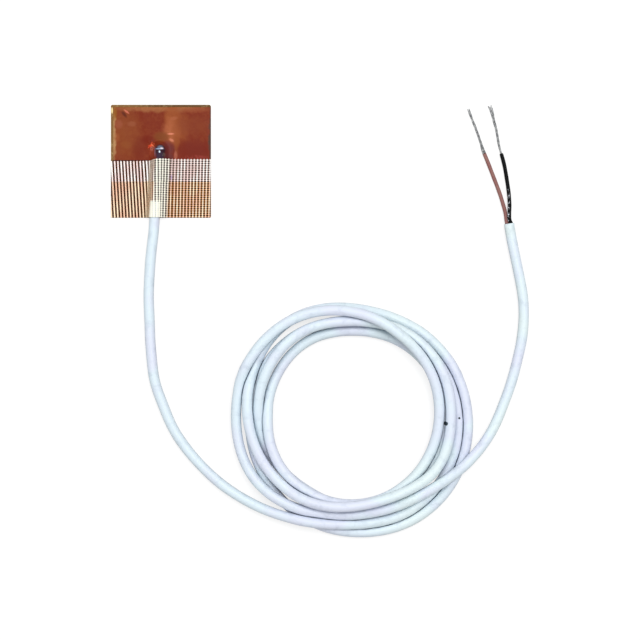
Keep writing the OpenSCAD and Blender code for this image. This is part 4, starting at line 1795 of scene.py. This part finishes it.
@dataclass
class GlassCloth:
    """The woven strip: yarns laid over the ridge, each cut where it meets the patch's edge.

    Attributes:
        drape: what it lies on.
        half_width, near_y: half the patch's width, and its edge at the cable.
        edge_y: the far edge's place at edge_at, which are lengths from the ridge's top.
        gap_number, gap_at: where the gaps between the yarns along Y lie at top_y: the number of
            a gap from the left and its length from the ridge's top.
        drift, drift_at: how fast a gap moves along the drape towards the cable, at such a length.
        weft_count: number of yarns across.
        samples, sides: points of a yarn from crossing to crossing, and corners of its section.
        warp_w, warp_t: width and thickness of a yarn along Y.
        weft_w, weft_t: width and thickness of a yarn across.
        warp_sway, weft_sway: how far they wave up and down.
        weft_drop: how deep the yarns across lie under the middle of the cloth.
        scallop: how far a yarn along Y swells where one across ties it.
        scallop_at: lengths from the ridge's top between which that comes in.
        lift: height of the cloth's middle over the drape.
        film_step, step_l: how much higher it lies on the cover film, and how fast it rises.
        thinnest: width under which a yarn that the patch's edge cuts off is left away.
        spread, spread_at, spread_l: how much wider the yarns lie that the jacket carries, how far
            from the ridge's top that ends, and how fast it comes in along Y.
    """

    drape: Drape
    half_width: float = 12.7
    near_y: float = -14.35
    edge_y: tuple[float, ...] = (0.04, 0.16, 0.52, 0.6, 0.56)
    edge_at: tuple[float, ...] = (-8.0, -3.0, 0.3, 3.0, 8.0)
    top_y: float = 0.9
    gap_number: tuple[int, ...] = (-2, 11, 14, 16, 17, 18, 19, 20, 21, 22, 32, 33)
    gap_at: tuple[float, ...] = (
        -14.73, -4.21, -1.52, 0.03, 0.68, 1.58, 2.46, 3.5, 4.6, 5.38, 13.49, 14.3,
    )
    drift: tuple[float, ...] = (0.131, 0.14, 0.07, 0.06, 0.044)
    drift_at: tuple[float, ...] = (-6.0, -4.2, -1.5, 1.6, 4.6)
    weft_count: int = 26
    samples: int = 4
    sides: int = 8
    warp_w: float = 0.41
    warp_t: float = 0.12
    weft_w: float = 0.27
    weft_t: float = 0.07
    warp_sway: float = 0.015
    weft_sway: float = 0.025
    weft_drop: float = 0.015
    scallop: float = 0.32
    scallop_at: Pair = (-2.5, 0.0)
    lift: float = 0.13
    film_step: float = 0.08
    step_l: float = 0.3
    thinnest: float = 0.06
    spread: float = 0.75
    spread_at: Pair = (1.3, 1.9)
    spread_l: float = 0.3

    def build(self, coat: Material) -> Piece:
        """Weaves the cloth.

        Args:
            coat: the yarns' material.

        Returns:
            The cloth as one piece.
        """
        yarns = [self._warp(k) for k in range(self.gap_number[0], self.gap_number[-1])]
        yarns += [self._weft(j) for j in range(self.weft_count)]
        return Surface.joined(yarns).piece("glass_cloth_weave", coat)

    def _ends(self, y: Array) -> list[Array]:
        """Lengths along the drape at which the patch ends on the left and on the right."""
        return [self.drape.edge_length(x, y) for x in (-self.half_width, self.half_width)]

    def _far_edge(self, length: Array) -> Array:
        """The far edge's place along Y, by the length along the drape."""
        return np.interp(length, self.edge_at, self.edge_y)

    def _middle(self, y: Array) -> Array:
        """Height of the cloth's middle over the drape, with the step at the cover film's end."""
        return self.lift + self.film_step * ease(y, PATCH.film_end - self.step_l, PATCH.film_end)

    def _moved(self, top: Array, y: Array) -> Array:
        """Length along the drape at y of a line between yarns, by its length at the top."""
        return top + np.interp(top, self.drift_at, self.drift) * (self.top_y - y)

    def _column(self, number: float, y: Array) -> Array:
        """Length along the drape of a gap between two yarns along Y, by its number, at each y."""
        return self._moved(np.interp(number, self.gap_number, self.gap_at), y)

    def _skin(
        self, path: Array, over: Array, half_w: Array, half_t: float, tie: Array, weft: float
    ) -> Surface:
        """A yarn with an oval section along a path.

        Args:
            path: its points.
            over: the cloth's normals there.
            half_w: half its width at each point.
            half_t: half its thickness.
            tie: 1 where a yarn crosses it, 0 midway between two.
            weft: 1 for a yarn across, 0 for one along Y.

        Returns:
            The yarn's surface with its marks.
        """
        oval = circle(self.sides)
        wide = half_w[:, None] * oval[:, 0]
        section = np.stack([wide, np.broadcast_to(half_t * oval[:, 1], wide.shape)], axis=-1)
        skin = loft(rings(path, *directions(path, over), section))
        skin.marks["edge"] = np.tile(np.abs(oval[:, 0]), len(path))
        skin.marks["tie"] = np.repeat(tie, len(oval))
        skin.marks["weft"] = np.full(len(skin.points), weft)
        return skin

    def _warp(self, k: int) -> Surface:
        """A yarn along Y, which waves over and under the yarns across and swells where they tie it.

        Its height is sway cos(beat + pi k) and its width (1 + scallop cos(2 beat)), where beat
        grows by pi from one crossing to the next.

        Args:
            k: its number from the left.

        Returns:
            The yarn's surface.
        """
        share = np.linspace(0, 1, self.samples * self.weft_count + 1)
        top = np.interp(k + 0.5, self.gap_number, self.gap_at)
        y = self.near_y + share * (self._far_edge(top) - self.near_y)
        centre = (self._column(k, y) + self._column(k + 1, y)) / 2
        beat = math.pi * (share * self.weft_count - 0.5)
        swell = self.scallop * ease(top, *self.scallop_at) * np.cos(2 * beat)
        on_jacket = ease(y, PATCH.jacket_y + self.spread_l, PATCH.jacket_y - self.spread_l)
        spread = self.spread * on_jacket * ease(np.abs(centre), *self.spread_at[::-1])
        half = self.warp_w / 2 * (1 + swell) * (1 + spread)
        left, right = (np.clip(edge, *self._ends(y)) for edge in (centre - half, centre + half))
        wave = self.warp_sway * np.cos(beat + math.pi * k)
        path, normal = self.drape.at((left + right) / 2, y, self._middle(y) + wave)
        tie = 0.5 + 0.5 * np.cos(2 * beat)
        kept = right - left > self.thinnest
        wide = (right - left) / 2
        return self._skin(path[kept], normal[kept], wide[kept], self.warp_t / 2, tie[kept], 0.0)

    def _weft(self, j: int) -> Surface:
        """A yarn across, which waves the other way round the yarns along Y.

        Its depth is drop + sway cos(pi (number + j)), where number counts the yarns along Y.

        Args:
            j: its number from the cable's edge.

        Returns:
            The yarn's surface.
        """
        way = np.linspace(0, 1, self.samples * (self.gap_number[-1] - self.gap_number[0]) + 1)
        low, high = self._ends(np.array(self.near_y))
        depth = self._far_edge(low + (high - low) * way) - self.near_y
        y = self.near_y + (j + 0.5) / self.weft_count * depth
        low, high = self._ends(y)
        length = low + (high - low) * way
        tops = np.linspace(self.gap_at[0], self.gap_at[-1], len(way))
        top = np.interp(length, self._moved(tops, y.mean()), tops)
        number = np.interp(top, self.gap_at, self.gap_number) + 0.5
        drop = self.weft_drop + self.weft_sway * np.cos(math.pi * (number + j))
        path, normal = self.drape.at(length, y, self._middle(y) - drop)
        tie = 0.5 - 0.5 * np.cos(2 * math.pi * number)
        half = np.full(len(way), self.weft_w / 2)
        return self._skin(path, normal, half, self.weft_t / 2, tie, 1.0)


# Putting it together


def dress_solids(nodes: dict[str, Piece], coats: Coats) -> None:
    """Gives each solid that stays its finish.

    Args:
        nodes: the solids by name.
        coats: the materials.
    """
    worn = {
        Coat.ADHESIVE: ["adhesive_layer"],
        Coat.BASE: ["base_film"],
        Coat.CERAMIC: ["thermistor_chip"],
        Coat.EPOXY: ["bead_coating"],
        Coat.LEAD: ["left_lead", "right_lead"],
        Coat.SOLDER: ["left_solder_joint", "right_solder_joint"],
        Coat.SLEEVE: ["left_splice_sleeve", "right_splice_sleeve"],
        Coat.RED: ["red_core_sensor_end"],
        Coat.BLACK: ["black_core_sensor_end"],
        Coat.COPPER: ["red_conductor_sensor_end", "black_conductor_sensor_end"],
        Coat.JACKET: ["jacket_sensor_end"],
    }
    for coat, names in worn.items():
        for name in names:
            nodes[name].data.materials.clear()
            nodes[name].data.materials.append(coats[coat])
            log.info("%s: dressed as %s", name, coat.value.name)


def declare(piece: Piece, slot: str, *nodes: str) -> None:
    """Tells the frame what a new piece rides on and what it stands for.

    Args:
        piece: the piece.
        slot: its material's slot; not used.
        nodes: the solids in whose place it comes.
    """
    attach(piece, "root")
    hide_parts(*nodes)
    log.info("%s: %d faces, for %s", piece.name, len(piece.data.polygons), ", ".join(nodes))


def build_cable(coats: Coats) -> None:
    """Args:
        coats: the materials.
    """
    cable = Cable()
    jacket, centre = cable.build(coats[Coat.JACKET])
    declare(jacket, "cable_jacket", "patch_tail", "cable_coil", "free_tail")
    ends = []
    for end in STRIPPED_ENDS:
        colour = end.side.value
        core = end.insulation(coats[Coat[end.side.name]])
        declare(core, f"{colour}_insulation", f"{colour}_core")
        strands = end.conductor(coats[Coat.COPPER])
        declare(strands, "tinned_copper", f"{colour}_conductor")
        ends += [core, strands]


def build_patch(coats: Coats) -> None:
    """Args:
        coats: the materials.
    """
    film = CoverFilm(Drape()).build(coats[Coat.COVER])
    declare(film, "cover_film", "cover_film")
    cloth = GlassCloth(Drape(half_w=(2.2, 3.4))).build(coats[Coat.YARN])
    declare(cloth, "glass_cloth", "glass_cloth")


def main() -> None:
    """Builds the sensor in order."""
    logging.basicConfig(level=logging.INFO, format="%(message)s")
    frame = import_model()
    studio = Studio()
    studio.camera()
    coats = {coat: coat.value.material() for coat in Coat}
    build_cable(coats)
    build_patch(coats)
    dress_solids(frame["nodes"], coats)
    studio.floor()
    studio.lights()


if __name__ == "__main__":
    main()
